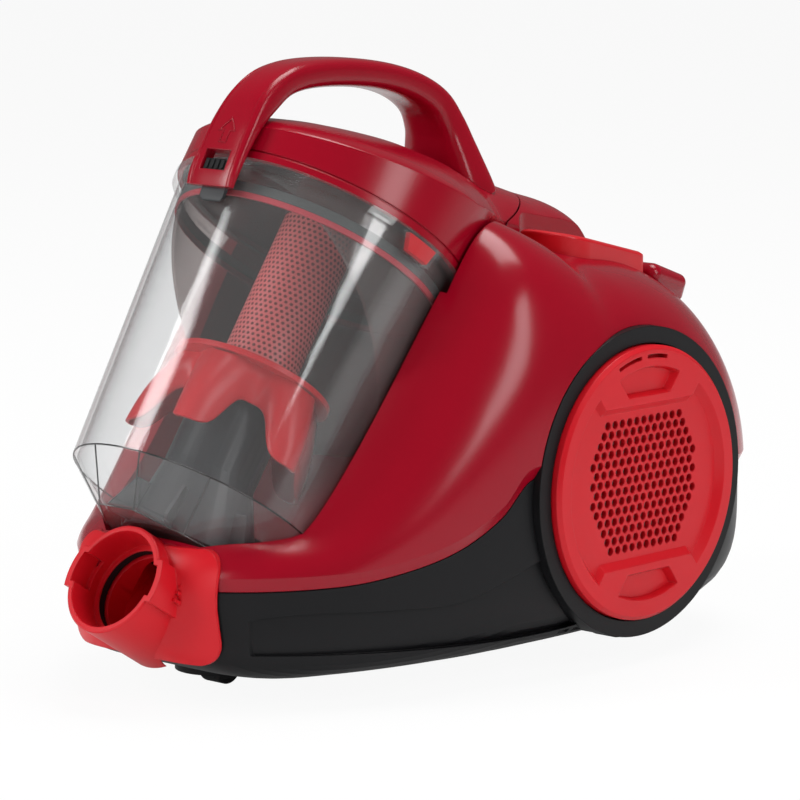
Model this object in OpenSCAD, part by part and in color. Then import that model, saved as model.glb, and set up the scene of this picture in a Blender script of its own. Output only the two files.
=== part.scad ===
// Bagless canister vacuum cleaner.
// The front of the machine is at -Y, the right-hand side at +X, and it stands on z = 0.
// The dust container leans back over the body; "axial" places are measured up its axis
// from the centre of its floor.

/* [Body] */
// Greatest half width of the upper shell
body_half_w = 130; // [126:0.5:134]
// How far the lower housing is set in from the upper shell
lower_inset = 4; // [3:0.5:6]
// Wall thickness of both shells
shell_t = 3; // [2.5:0.25:3.5]
// Height of the flat underside above the floor
floor_z = 12; // [11:0.5:13]
// Height of the seam at the front
seam_front_z = 62; // [58:1:66]
// Height of the seam at the rear
seam_rear_z = 90; // [86:1:94]

/* [Dust container] */
// How far the container leans back
bin_lean = 35; // [34:0.25:36]
// Outer radius of the container wall at its top
bin_top_r = 77; // [75:0.25:77]
// Outer radius of the container wall where the hopper begins
bin_low_r = 67; // [65:0.25:68]
// Wall thickness of the container
bin_t = 2.5; // [2:0.25:3]
// Height of the faceted hopper
hopper_h = 25; // [23:0.5:27]
// Axial height of the container's rim
bin_h = 183.5; // [180:0.5:184]
// Radius of the bead round the rim
bead_r = 80.2; // [79.5:0.1:80.5]
// Radius of the opening in the hopper floor
port_r = 22; // [20:0.5:24]
// How far behind the axis the floor opening lies
port_y = 16; // [14:0.5:17]

/* [Lid and handle] */
// Radius of the lid
lid_r = 79.6; // [79:0.1:80]
// Axial height of the lid's sloping top at the axis
lid_top = 215; // [213:0.5:218]
// Angle between the lid's top and the container's rim
lid_slope = 10; // [9:0.25:11]
// Wall thickness of the lid
lid_t = 3; // [2.5:0.25:3.5]
// Radius of the hood that reaches back from the lid
hood_r = 40; // [38:0.5:42]
// Width of the handle's grip
grip_w = 28; // [26:1:32]

/* [Hose inlet] */
// Outer radius of the inlet tube
inlet_r = 28.8; // [28:0.2:29.6]
// Radius of the socket that takes the hose end
socket_r = 25.3; // [24.5:0.1:25.8]
// Depth of the socket
socket_depth = 22; // [20:0.5:22.5]
// Radius of the duct behind the socket
duct_r = 21; // [20:0.25:21.5]
// Slope of the inlet tube
inlet_slope = 32; // [31:0.25:33]

/* [Exhaust filters] */
// Radius of the round filter cover
cover_r = 71.6; // [70:0.2:72]
// Height of the filter cover's centre
cover_z = 94.3; // [93:0.1:96]
// Outer radius of the ring round the cover
bezel_r = 81; // [80.4:0.2:81.6]
// Face of the cover, measured from the middle of the machine
cover_face_x = 131; // [130.5:0.1:131.5]
// Spacing of the holes in the cover
hole_pitch = 6.1; // [6:0.05:6.2]
// Radius of each hole
hole_r = 2; // [1.6:0.1:2.2]

/* [Pedals] */
// Distance of each pedal's middle from the middle of the machine
pedal_x = 49; // [47:0.5:51]
// Width of a pedal
pedal_w = 40; // [38:1:42]
// Slope of the pedals
pedal_slope = 13; // [12:0.25:14]
// Travel of a pedal
pedal_travel = 5; // [4:0.5:5.5]

/* [Wheels] */
// Radius of the rear wheels
wheel_r = 19; // [18.5:0.25:19.5]
// Width of the rear wheels
wheel_w = 16; // [14:0.5:18]
// Radius of the rear axles
axle_r = 3; // [2.5:0.1:3.5]
// Radius of the caster wheel
caster_r = 9.5; // [9:0.25:10]

/* [Motor and cord reel] */
// Radius of the motor case
motor_r = 48; // [44:0.5:50]
// Length of the motor case
motor_l = 96; // [90:1:100]
// Radius of the motor shaft
shaft_r = 4; // [3.5:0.1:4.5]
// Radius of the cord reel's flanges
reel_r = 54; // [50:0.5:55]
// Width between the reel's flanges
reel_w = 44; // [40:1:48]

/* [Fits] */
// Gap between the container and its seat
seat_gap = 1.6; // [1.4:0.1:2]
// Gap between parts that only lie against each other
touch = 0.05; // [0.02:0.01:0.1]
// Running clearance of shafts in their bores, on the radius
run = 0.06; // [0.03:0.01:0.09]
// Clearance round the pedals and the covers
slip = 0.8; // [0.6:0.05:1]

/* [Hidden] */

low_z = floor_z - lower_inset;
front_y = -180;
rear_y = 205;
wide_y = 60;
cover_y = 67;
bin_floor = [0, -147, 72];
mouth = [0, -190, 64.7];
saddle_w = 104;
spigot_r = socket_r + 1.9;
seal_r = socket_r + 0.6;
seal_h = 4;
channel_top_r = bead_r + seat_gap;
motor_c = [0, 27, 76];
reel_c = [0, 136, 96];
intake_y = 64;
intake_r = 15;
wheel_x = 76;
wheel_y = 104;
caster_trail = 3;
caster_top = 24;
post_h = 12;
foot_z = 24;
shelf_z = 162;
shelf_t = 3;
leg_y = [84, 132];
leg_z = 171;
leg_r = 4;
box_z = 126;
box_h = 22;
bush_y = 186;
bush_z = 64;
pedal_z = 211;
switch_z = shelf_z + shelf_t + touch;
screw_at = [[-60, -60, 12.5], [60, -60, 12.5], [-88, 150, 19], [88, 150, 19]];
gasket_s = bin_h - 18.5;
mesh_r = 20;
skirt_s = gasket_s - 84;
funnel_h = skirt_s + 3;
funnel_y = 10;
funnel_low_r = 37;
funnel_top_r = 24;
duct_bend = 36;
port_depth = 12;
fin_angles = [-120, -60, 0, 60];
caster_y = -119;
fine = 64;

deep_red = "#9c0c24";
bright_red = "#d02030";
black = "#202022";
grey = "#6a6e70";
steel = "#b8bcc0";
clear = [0.85, 0.87, 0.88, 0.35];

// ---------- curves ----------

// Height of the body's top, bottom and widest level along Y, and how square its upper half is.
top_line = [
    [-180, 60], [-176, 72], [-166, 82], [-150, 88], [-125, 93], [-108, 106], [-84, 134], [-62, 164],
    [-40, 196], [-17, 226], [-3, 235.5], [12, 235.5], [33, 226], [50, 215], [72, 210], [110, 205],
    [150, 197], [170, 191], [181, 180], [191, 160], [199, 130], [203.5, 106], [205, 91]
];
bottom_line = [
    [-180, 44], [-176, 30], [-166, 19], [-150, 11], [-125, low_z], [100, low_z], [140, low_z + 4],
    [165, 21], [183, 37], [195, 56], [203.5, 76], [205, 84]
];
middle_line = [[-180, 53], [40, 88], [205, 88]];
square_line = [[-180, 2.4], [-100, 3], [0, 3.5], [67, 4], [110, 3.4], [150, 2.5], [175, 2.1], [205, 2]];
// Seam between the two shells, seen from the side.
seam_line = [
    [-215, seam_front_z - 2], [-120, seam_front_z], [-86, seam_front_z + 5], [-58, seam_front_z + 13],
    [-34, seam_front_z + 26], [-12, seam_front_z + 44], [150, seam_rear_z], [220, seam_rear_z]
];

function segment(t, y, i = 0) = i >= len(t) - 2 || y <= t[i + 1][0] ? i : segment(t, y, i + 1);
function grade(t, i) =
    let (a = t[max(i - 1, 0)], b = t[min(i + 1, len(t) - 1)])
    (b[1] - a[1]) / (b[0] - a[0]);
// Smooth curve through a list of [place, value] pairs.
function along(t, y) =
    let (
        i = segment(t, y),
        a = t[i],
        b = t[i + 1],
        h = b[0] - a[0],
        u = min(max((y - a[0]) / h, 0), 1)
    )
    a[1] * (1 + 2 * u) * (1 - u) * (1 - u) + b[1] * u * u * (3 - 2 * u)
    + grade(t, i) * h * u * (1 - u) * (1 - u) - grade(t, i + 1) * h * u * u * (1 - u);

// Half width of the body along Y: one rounded plan for the nose, a squarer one for the rear.
function half_w(y) =
    y < wide_y
        ? body_half_w * pow(1 - pow((wide_y - y) / (wide_y - front_y), 2.2), 1 / 2.2)
        : body_half_w * pow(1 - pow((y - wide_y) / (rear_y - wide_y), 3.4), 1 / 3.4);

function signed_pow(v, p) = sign(v) * pow(abs(v), p);

// One cross-section of the body at y, moved inwards by d.
function body_ring(y, d, count) =
    let (
        mid = along(middle_line, y),
        up = along(top_line, y) - mid - d,
        down = mid - along(bottom_line, y) - d,
        w = half_w(y) - d,
        n = along(square_line, y)
    )
    [for (k = [0 : count - 1])
        let (a = 360 * k / count, p = sin(a) >= 0 ? 2 / n : 2 / 6)
        [w * signed_pow(cos(a), p), y, mid + (sin(a) >= 0 ? up : down) * signed_pow(sin(a), p)]];

// Top of the pipe from the motor, just under the shell.
intake_top = along(top_line, intake_y) - 3.5;
// Outer radius of the container's wall at an axial height.
function bin_r(s) = bin_low_r + (bin_top_r - bin_low_r) * (s - hopper_h) / (bin_h - hopper_h);
cup_r = bin_r(gasket_s) - bin_t - 1.6;
cup_low_r = bin_r(gasket_s - 75) - bin_t - 1.6;

stations = [
    -179.6, -178, -174, -167, -157, -144, -128, -110, -90, -70, -50, -32, -16, -3, 10,
    24, 40, 58, 80, 105, 130, 150, 165, 178, 189, 197, 201, 203.5, 204.4
];

// ---------- helpers ----------

// A closed skin over rings that all have the same number of points.
module skin(rings) {
    n = len(rings[0]);
    last = len(rings) - 1;
    points = [for (ring = rings) each ring];
    sides = [for (i = [0 : last - 1], k = [0 : n - 1])
        let (k2 = (k + 1) % n, a = i * n)
        each [[a + k, a + k2, a + n + k], [a + k2, a + n + k2, a + n + k]]];
    first_cap = [for (k = [n - 1 : -1 : 0]) k];
    last_cap = [for (k = [0 : n - 1]) last * n + k];
    polyhedron(points, concat(sides, [first_cap, last_cap]));
}

// Works out its children as one mesh.
module one_mesh() {
    resize([0, 0, 0]) children();
}

// Places children on the container's axis, at an axial height.
module on_axis(s = 0) {
    translate(bin_floor) rotate([-bin_lean, 0, 0]) translate([0, 0, s]) children();
}

// Places children on the inlet's axis; their +Z runs into the machine.
module on_inlet(s = 0) {
    translate(mouth) rotate([-90 - inlet_slope, 0, 0]) translate([0, 0, s]) children();
}

module tube(r_out, r_in, h) {
    difference() {
        cylinder(r = r_out, h = h, $fn = fine);
        translate([0, 0, -1]) cylinder(r = r_in, h = h + 2, $fn = fine);
    }
}

module body_solid(d, count = 36) {
    last = rear_y - 1.4 - d;
    inner = [for (y = stations) if (y > front_y + 1.5 + d && y < last - 0.5) y];
    ys = d > 0 ? concat([front_y + 1.5 + d], inner, [last]) : stations;
    skin([for (y = ys) body_ring(y, d, count)]);
}

// The hollow inside a shell, with fewer sides than its outer face.
module body_room(d) {
    last = rear_y - 1.4 - d;
    inner = [for (k = [0 : 2 : len(stations) - 1]) if (stations[k] > front_y + 5 + d && stations[k] < last - 2) stations[k]];
    skin([for (y = concat([front_y + 1.5 + d], inner, [last])) body_ring(y, d, 24)]);
}

// Everything below the seam between the shells.
module below_seam(drop) {
    ys = [for (y = [-215 : 9 : 219]) y];
    rotate([90, 0, 90]) translate([0, 0, -160]) linear_extrude(320)
        polygon(concat([[220, -20], [-215, -20]], [for (y = ys) [y, along(seam_line, y) - drop]],
            [[220, seam_rear_z - drop]]));
}

// The room that the container needs: its hopper lifts straight up, and its barrel leans out forwards.
module bin_channel(grow) {
    gap = seat_gap + grow;
    wide_s = bin_h - 14;
    hull() for (lift = [0, 120]) translate([0, 0, lift]) on_axis() hopper_solid(-gap);
    hull() for (out = [0, -260]) on_axis(hopper_h - gap / 2) translate([0, out, 0])
        cylinder(r1 = bin_low_r + gap, r2 = bin_top_r + gap, h = bin_h - hopper_h, $fn = 56);
    hull() for (out = [0, -260]) on_axis(wide_s - grow) translate([0, out, 0])
        cylinder(r = channel_top_r + grow, h = 120, $fn = 56);
}

// Plan outline of a pedal, with a round front and a blunt rear.
module pedal_outline(grow) {
    hull() {
        translate([4, 85]) circle(r = pedal_w / 2 + grow, $fn = 32);
        for (x = [-12, 6]) translate([x, 141]) circle(r = 8 + grow, $fn = 24);
    }
}

// Upright room for both pedals.
module pedal_rooms(grow, h) {
    for (side = [0, 1]) mirror([side, 0, 0]) translate([pedal_x, 0, 150]) linear_extrude(h) pedal_outline(grow);
}

// The solid above (or below) the sloping plane on which a pedal's top lies.
module pedal_slab(z_mid, h) {
    translate([0, 105, z_mid]) rotate([-pedal_slope, 0, 0]) translate([-60, -90, -h]) cube([120, 180, h]);
}

// The round room for a filter behind each cover.
module cover_holes(r) {
    for (side = [-1, 1]) translate([side * 84, cover_y, cover_z]) rotate([0, side * 90, 0])
        cylinder(r = r / cos(180 / fine), h = 60, $fn = fine);
}

// ---------- housings ----------

module lower_housing() color(black) {
    one_mesh() difference() {
        union() {
            difference() {
                intersection() {
                    body_solid(lower_inset);
                    below_seam(0.4);
                }
                difference() {
                    body_room(lower_inset + shell_t);
                    for (side = [-1, 1]) translate([side * wheel_x, wheel_y, 0])
                        translate([-wheel_w / 2 - 5, -wheel_r - 6, 0]) cube([wheel_w + 10, 2 * wheel_r + 12, 2 * wheel_r + 6]);
                }
            }
            intersection() {
                body_solid(lower_inset);
                union() {
                    translate([0, caster_y, 0]) cylinder(r = 20.6, h = caster_top + 12.6, $fn = 40);
                    for (side = [-1, 1], y = [motor_c[1] - 22, motor_c[1] + 22])
                        translate([side * 30, y, 0]) cylinder(r = 6, h = foot_z, $fn = 24);
                    for (side = [-1, 1]) translate([side * (reel_w / 2 + 9), reel_c[1], 0])
                        cylinder(r = 6, h = foot_z, $fn = 24);
                    for (at = screw_at) translate([at[0], at[1], 0]) cylinder(r = 6, h = at[2] + post_h, $fn = 24);
                }
            }
            translate([0, bush_y - 2, bush_z]) rotate([-90, 0, 0]) cylinder(r = 13, h = 15, $fn = 32);
        }
        bin_channel(shell_t + touch);
        cover_holes(bezel_r + touch);
        inlet_room();
        for (side = [-1, 1]) {
            translate([side * wheel_x, wheel_y, wheel_r]) rotate([0, 90, 0])
                cylinder(r = wheel_r + 3, h = wheel_w + 4, center = true, $fn = 40);
            translate([side * wheel_x - (wheel_w + 4) / 2, wheel_y - wheel_r - 3, -5])
                cube([wheel_w + 4, 2 * wheel_r + 6, 5 + wheel_r]);
            translate([side * wheel_x, wheel_y, wheel_r]) rotate([0, 90, 0])
                cylinder(r = (axle_r + touch) / cos(180 / 24), h = wheel_w + 16, center = true, $fn = 24);
        }
        translate([0, caster_y, -1]) cylinder(r = 17.6, h = caster_top + 1.6, $fn = 40);
        translate([0, caster_y, -1]) cylinder(r = 11 + touch, h = caster_top + 10.6 + touch, $fn = 40);
        translate([0, bush_y - 20, bush_z]) rotate([-90, 0, 0]) cylinder(r = 9 + 2 * touch, h = 60, $fn = 32);
        translate([0, bush_y + 13, bush_z]) rotate([-90, 0, 0]) cylinder(r = 12 + 2 * touch, h = 20, $fn = 32);
        for (at = screw_at) translate([at[0], at[1], 0]) {
            cylinder(r = 1.6 + touch, h = 40, $fn = 16);
            cylinder(r = 3.5 + touch, h = at[2] + 2 + touch, $fn = 20);
        }
    }
}

module upper_housing() color(deep_red) {
    one_mesh() difference() {
        union() {
            difference() {
                body_solid(0);
                body_room(shell_t);
                below_seam(0);
            }
            difference() {
                intersection() {
                    body_solid(shell_t / 2);
                    bin_channel(shell_t);
                }
                translate([0, 0, -40]) cube([400, 500, 80], center = true);
            }
            intersection() {
                body_solid(shell_t / 2);
                for (at = screw_at) translate([at[0], at[1], at[2] + post_h + touch]) cylinder(r = 5, h = 160, $fn = 20);
            }
        }
        for (at = screw_at) translate([at[0], at[1], 0]) cylinder(r = 1.6 + touch, h = at[2] + post_h + 12, $fn = 16);
        bin_channel(0);
        cover_holes(bezel_r + touch);
        pedal_rooms(slip, 100);
        translate([0, intake_y, 150]) cylinder(r = intake_r + touch, h = 120, $fn = 48);
        on_axis(-20) translate([0, port_y, 0]) cylinder(r = port_r + 3.5 + 4 * touch, h = 30, $fn = 48);
        inlet_room();
    }
}

// Height of the lid's crown along its middle, carried on over the hood and the block behind it.
crown_line = [
    [-96.8, 282.4], [-88, 285], [-66, 283], [-48, 279.7], [-30.7, 276], [-12.7, 271.6], [5.5, 265.9],
    [24, 260.2], [41, 254], [64, 246], [98, 235], [127, 226], [134, 218], [142, 204]
];
// Height of the crown's side edge and its half width, behind the round of the lid.
edge_line = [[-8, 241.2], [20, 232.5], [40, 227.5], [56, 224], [98, 213], [127, 206], [142, 196]];
wide_line = [[-8, 77.9], [20, 65.5], [40, 50], [56, 40.5], [98, 40], [142, 40]];

function lid_round(y) = (lid_r + 0.1) * sqrt(max(0, 1 - pow((y + 23.4) / 73.5, 2)));
function crown_ring(y, inset) =
    let (
        rear = y > -8,
        plane = 248.3 - 0.463 * (y + 23.4),
        low = (rear ? along(edge_line, y) : plane) - inset,
        top = (y > -96.7 ? along(crown_line, y) : plane) - inset,
        w = max(rear ? along(wide_line, y) : lid_round(y), 0.5)
    )
    concat(
        [[110, y, 120], [110, y, low]],
        [for (k = [0 : 16])
            let (x = cos(180 * k / 16))
            [w * x, y, low + max(top - low, 0) * pow(1 - x * x, 0.85)]],
        [[-110, y, low], [-110, y, 120]]);

// Everything under the crown of the lid, the hood and the block behind it.
module under_crown(inset = 0) {
    skin([for (y = [-150, -96.8, -95.5, -92, -86, -76, -64, -50, -36, -22, -8, 6, 20, 34, 48, 60, 74, 98, 127, 134, 142])
        crown_ring(y, inset)]);
}

// Plan of the hood, in the container's own axes: a round rear edge and two small corners at the sides.
module hood_plan(grow) {
    hull() {
        translate([0, 66]) circle(r = hood_r + 1.9 + grow, $fn = 48);
        for (side = [-1, 1]) translate([side * (53 + grow), 57]) circle(r = 1);
    }
}

module neck_block() color(deep_red) {
    one_mesh() difference() {
        intersection() {
            under_crown();
            translate([-hood_r, 50, 150]) cube([2 * hood_r, 92, 120]);
        }
        body_solid(-touch);
        on_axis(120) linear_extrude(220) hood_plan(slip);
        on_axis() cylinder(r = channel_top_r, h = 300, $fn = 96);
        pedal_rooms(slip, 120);
    }
}

module rear_grip() color(deep_red) {
    one_mesh() difference() {
        hull() {
            for (side = [-1, 1]) {
                translate([side * 56, 160, 188]) sphere(r = 6, $fn = 20);
                translate([side * 54, 184, 181]) sphere(r = 5, $fn = 20);
                translate([side * 50, 188, 174]) sphere(r = 4, $fn = 20);
                translate([side * 52, 162, 178]) sphere(r = 4, $fn = 20);
            }
        }
        body_solid(-touch);
        pedal_rooms(slip, 100);
    }
}

// ---------- hose inlet ----------

// Everything above a level a little below the container's floor.
module over_floor(drop) {
    on_axis(-drop) translate([-60, -160, 0]) cube([120, 260, 100]);
}

// The room that the spigot and the duct take in both housings.
module inlet_room() {
    on_inlet(-6) cylinder(r = spigot_r + 4 * touch, h = socket_depth + 7 + 2 * touch, $fn = 48);
    duct_form(3 + 2 * touch, 2 * touch);
}

// The front end of the body's outer form.
module nose() {
    intersection() {
        body_solid(-touch);
        translate([-34, -200, -10]) cube([68, 70, 120]);
    }
}

module saddle() {
    difference() {
        intersection() {
            body_solid(-2.6);
            translate([0, -158, 52]) rotate([90, 0, 0]) linear_extrude(90)
                offset(r = 14, $fn = 24) square([saddle_w - 28, 57 - 28], center = true);
        }
        body_solid(-touch);
        bin_channel(1.5);
    }
}

module inlet_socket() color(bright_red) {
    difference() {
        union() {
            one_mesh() saddle();
            difference() {
                union() {
                    on_inlet() cylinder(r = inlet_r, h = 46, $fn = fine);
                    on_inlet() intersection() {
                        cylinder(r = inlet_r + 2.6, h = 30, $fn = fine);
                        translate([-50, -14, 0]) cube([100, 22, 30]);
                    }
                }
                one_mesh() nose();
                over_floor(seat_gap + 0.5);
            }
            difference() {
                on_inlet() cylinder(r = spigot_r, h = socket_depth, $fn = fine);
                over_floor(seat_gap + 0.5);
            }
        }
        on_inlet(-1) cylinder(r = socket_r, h = socket_depth + 1, $fn = fine);
        on_inlet(socket_depth - seal_h - touch) cylinder(r = seal_r + touch, h = seal_h + 1, $fn = fine);
        on_inlet(-1) cylinder(r = duct_r, h = socket_depth + 3, $fn = fine);
        on_inlet(socket_depth + 1 - touch) cylinder(r = duct_r + 3 + touch, h = 60, $fn = fine);
        on_inlet(-1) intersection() {
            cylinder(r = socket_r + 2.8, h = socket_depth - 9, $fn = fine);
            translate([-50, -11, 0]) cube([100, 16, socket_depth - 9]);
        }
    }
}

module inlet_seal() color(black) {
    on_inlet(socket_depth - seal_h) tube(seal_r, socket_r - 2.8, seal_h - touch);
}

// The bent duct: a straight run behind the socket, an elbow and the port under the container.
module duct_form(grow, ends) {
    start = socket_depth + 1;
    on_inlet(start - ends) cylinder(r = duct_r + grow, h = duct_bend - start + ends, $fn = fine);
    hull() {
        on_inlet(duct_bend - 0.1) cylinder(r = duct_r + grow, h = 0.1, $fn = 32);
        on_axis(-port_depth) translate([0, port_y, 0]) cylinder(r = port_r + grow, h = 0.1, $fn = 32);
    }
    on_axis(-port_depth) translate([0, port_y, 0]) cylinder(r = port_r + grow, h = port_depth - seat_gap - 4 + ends, $fn = fine);
}

module inlet_duct() color(black) {
    one_mesh() difference() {
        duct_form(3, 0);
        duct_form(0, 1);
        on_axis(-seat_gap - 4) translate([-60, -160, 0]) cube([120, 260, 60]);
    }
}

module port_seal() color(black) {
    on_axis(-seat_gap - 4) translate([0, port_y, 0])
        tube(port_r + 3.5, port_r, 4 + seat_gap - 0.35);
}

// ---------- exhaust ----------

module side_x(side) {
    translate([0, cover_y, cover_z]) rotate([0, 0, side > 0 ? 0 : 180]) rotate([90, 0, 90]) children();
}

module bezel(side) color(black) {
    side_x(side) translate([0, 0, 104]) difference() {
        cylinder(r = bezel_r, h = 22, $fn = fine);
        translate([0, 0, 6]) cylinder(r = cover_r + slip, h = 20, $fn = fine);
        translate([0, 0, -1]) cylinder(r = 62, h = 20, $fn = fine);
    }
}

// Field of round holes: rows set half a pitch apart.
module hole_field() {
    rows = [11, 12, 13, 14, 13, 14, 13, 14, 13, 12, 11];
    for (row = [0 : len(rows) - 1], k = [0 : rows[row] - 1])
        translate([(k - (rows[row] - 1) / 2) * hole_pitch, (row - 5) * hole_pitch * 0.87])
            circle(r = hole_r, $fn = 16);
}

// Finger recess near the rim of a cover.
module finger_recess() {
    intersection() {
        cylinder(r = cover_r - 9, h = 30, $fn = fine);
        translate([-30, 39, 0]) cube([60, 40, 30]);
    }
}

module filter_cover(side) color(bright_red) {
    deep = cover_face_x - 110.4;
    side_x(side) translate([0, 0, cover_face_x - deep]) {
        difference() {
            union() {
                cylinder(r = cover_r, h = deep - 3, $fn = fine);
                cylinder(r1 = cover_r, r2 = cover_r - 2, h = deep, $fn = fine);
            }
            translate([0, 0, -1]) cylinder(r = cover_r - 4, h = deep - 7, $fn = fine);
            translate([0, 0, -1]) intersection() {
                cylinder(r = cover_r - 8, h = deep + 5, $fn = fine);
                translate([-80, -37, 0]) cube([160, 74, deep + 5]);
            }
            for (turn = [0, 180]) rotate([0, 0, turn]) translate([0, 0, deep - 5]) finger_recess();
        }
        translate([0, 0, deep - 7]) linear_extrude(3) difference() {
            intersection() {
                circle(r = cover_r - 7.5, $fn = fine);
                square([160, 75], center = true);
            }
            hole_field();
        }
    }
}

module exhaust_filter(side) color("#e8e4da") {
    side_x(side) translate([0, 0, 92]) {
        cylinder(r = 61.9, h = 20, $fn = fine);
        translate([0, 0, 0]) cylinder(r = 66, h = 12 - touch, $fn = fine);
    }
}

// ---------- pedals, switch and board ----------

module pedal(side) {
    mirror([side < 0 ? 1 : 0, 0, 0]) translate([pedal_x, 0, 0]) difference() {
        intersection() {
            translate([0, 0, 180]) linear_extrude(60) pedal_outline(0);
            pedal_slab(pedal_z, 15);
        }
        intersection() {
            translate([0, 0, 170]) linear_extrude(60) pedal_outline(-3);
            pedal_slab(pedal_z - 4, 30);
        }
        translate([0, 108, pedal_top(108) - 1.2]) rotate([-pedal_slope, 0, 0])
            cylinder(r = 13, h = 8, $fn = 40);
    }
    for (y = leg_y) translate([side * pedal_x, y, leg_z]) cylinder(r = leg_r, h = pedal_top(y) - leg_z - 3, $fn = 24);
    translate([side * pedal_x - 3, 106, switch_z + 13.5]) cube([6, 6, pedal_top(109) - switch_z - 16.5]);
}

function pedal_top(y) = pedal_z - (y - 105) * tan(pedal_slope);

module power_pedal() color(bright_red) {
    pedal(1);
}

module rewind_pedal() color(bright_red) {
    pedal(-1);
}

// Coil springs round the pedals' legs, each as its outer tube.
module pedal_springs(side) color(steel) {
    for (y = leg_y) translate([side * pedal_x, y, shelf_z + shelf_t + touch])
        tube(leg_r + 3, leg_r + 1.2, pedal_top(y) - 6.2 - shelf_z - shelf_t);
}

// Cross plate that carries the springs, on top of the reel's frame.
module pedal_shelf() color(black) {
    shelf_y = leg_y[0] - leg_r - 4;
    difference() {
        translate([-pedal_x - 18, shelf_y, shelf_z]) cube([2 * pedal_x + 36, 144 - shelf_y, shelf_t]);
        translate([0, intake_y, shelf_z - 1]) cylinder(r = intake_r + 1, h = shelf_t + 2, $fn = fine);
    }
}

module power_switch() color(black) {
    difference() {
        translate([pedal_x - 7, 100, switch_z]) cube([14, 18, 11]);
        translate([pedal_x - 4, 104, switch_z + 8]) cube([8, 10, 6]);
    }
}

// Circuit board under the shelf, beside the reel.
module control_board() color("#2c5a3c") {
    translate([-pedal_x - 14, 84, shelf_z - 1.6 - touch]) cube([24, 48, 1.6]);
    for (k = [0 : 3]) translate([-pedal_x - 10, 88 + 11 * k, shelf_z - 9.6]) cube([8 + 3 * (k % 2), 7, 8]);
}

// ---------- motor ----------

module motor_case() color(grey) {
    end_t = 5;
    translate(motor_c) rotate([0, 90, 0]) translate([0, 0, -motor_l / 2]) difference() {
        cylinder(r = motor_r, h = motor_l, $fn = fine);
        translate([0, 0, end_t]) cylinder(r = motor_r - 3, h = motor_l - 2 * end_t, $fn = fine);
        translate([0, 0, -1]) cylinder(r = shaft_r + run, h = motor_l + 2, $fn = fine);
        for (k = [0 : 5]) rotate([0, 0, 60 * k + 30]) translate([motor_r - 20, 0, -1])
            cylinder(r = 7, h = motor_l + 2, $fn = 32);
        translate([0, 0, motor_l / 2 + 27]) rotate([0, -90, 0]) cylinder(r = 14, h = motor_r + 5, $fn = 40);
    }
}

module motor_stator() color("#8a5a3a") {
    translate(motor_c) rotate([0, 90, 0]) translate([0, 0, -28]) difference() {
        cylinder(r = motor_r - 3 - touch, h = 40, $fn = fine);
        translate([0, 0, -1]) cylinder(r = 27, h = 42, $fn = fine);
        for (k = [0 : 3]) rotate([0, 0, 90 * k + 45]) translate([motor_r - 3, 0, -1])
            cylinder(r = 12, h = 42, $fn = 32);
    }
}

module motor_feet() color(black) {
    difference() {
        for (side = [-1, 1], y = [-22, 22]) translate([side * 30, motor_c[1] + y, foot_z + touch])
            cylinder(r = 7, h = 20, $fn = 24);
        translate(motor_c) rotate([0, 90, 0]) cylinder(r = motor_r + touch, h = 200, center = true, $fn = fine);
    }
}

module motor_rotor() color(steel) {
    translate(motor_c) rotate([0, 90, 0]) {
        cylinder(r = shaft_r, h = motor_l + 6, center = true, $fn = fine);
        translate([0, 0, -26]) cylinder(r = 24, h = 36, $fn = fine);
        translate([0, 0, -38]) cylinder(r = 11, h = 12, $fn = fine);
    }
}

// Centrifugal fan: a back disc, a hub and straight blades.
module motor_fan() color("#9a9ea2") {
    fan_r = motor_r - 6;
    translate(motor_c) rotate([0, 90, 0]) translate([0, 0, 18]) difference() {
        union() {
            cylinder(r = fan_r, h = 2, $fn = fine);
            cylinder(r = 10, h = 18, $fn = fine);
            for (k = [0 : 8]) rotate([0, 0, 40 * k]) translate([8, -0.8, 0]) cube([fan_r - 9, 1.6, 16]);
        }
        translate([0, 0, -1]) cylinder(r = shaft_r + touch, h = 30, $fn = fine);
    }
}

// Box over the motor that holds the filter, with the pipe up to the neck.
module motor_intake() color(black) {
    top = box_z + box_h;
    difference() {
        union() {
            translate([-44, 24, box_z]) cube([88, 58, box_h]);
            translate([0, intake_y, top - 1]) cylinder(r = intake_r, h = intake_top - top + 1, $fn = fine);
            translate([17, motor_c[1] - 10, box_z - 8]) cube([20, 30, 10]);
        }
        translate([-41, 27, box_z + 3]) cube([82, 52, box_h - 6]);
        translate([0, intake_y, box_z + 5]) cylinder(r = intake_r - 2.5, h = 200, $fn = fine);
        translate([27, motor_c[1], box_z - 20]) cylinder(r = 8, h = 30, $fn = fine);
        translate(motor_c) rotate([0, 90, 0]) cylinder(r = motor_r + touch, h = 200, center = true, $fn = fine);
    }
}

module motor_filter() color("#4a8ac0") {
    translate([-41 + touch, 27 + touch, box_z + 3 + touch]) cube([82 - 2 * touch, 29, box_h - 6 - 2 * touch]);
}

// ---------- cord reel ----------

// Two side plates on feet, joined under the shelf.
module reel_frame() color(black) {
    plate_x = reel_w / 2 + 5;
    for (side = [-1, 1]) difference() {
        translate([side * (plate_x + 1.5) - 1.5, reel_c[1] - 32, foot_z + touch])
            cube([3, 47, shelf_z - foot_z - 2 * touch]);
        translate(reel_c) rotate([0, 90, 0]) cylinder(r = axle_r + touch, h = 200, center = true, $fn = fine);
    }
    for (side = [-1, 1]) translate([side * (plate_x + 6), reel_c[1], foot_z + touch])
        cylinder(r = 6, h = 8, $fn = 24);
}

module reel_axle() color(steel) {
    translate(reel_c) rotate([0, 90, 0]) cylinder(r = axle_r, h = reel_w + 26, center = true, $fn = fine);
}

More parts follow.
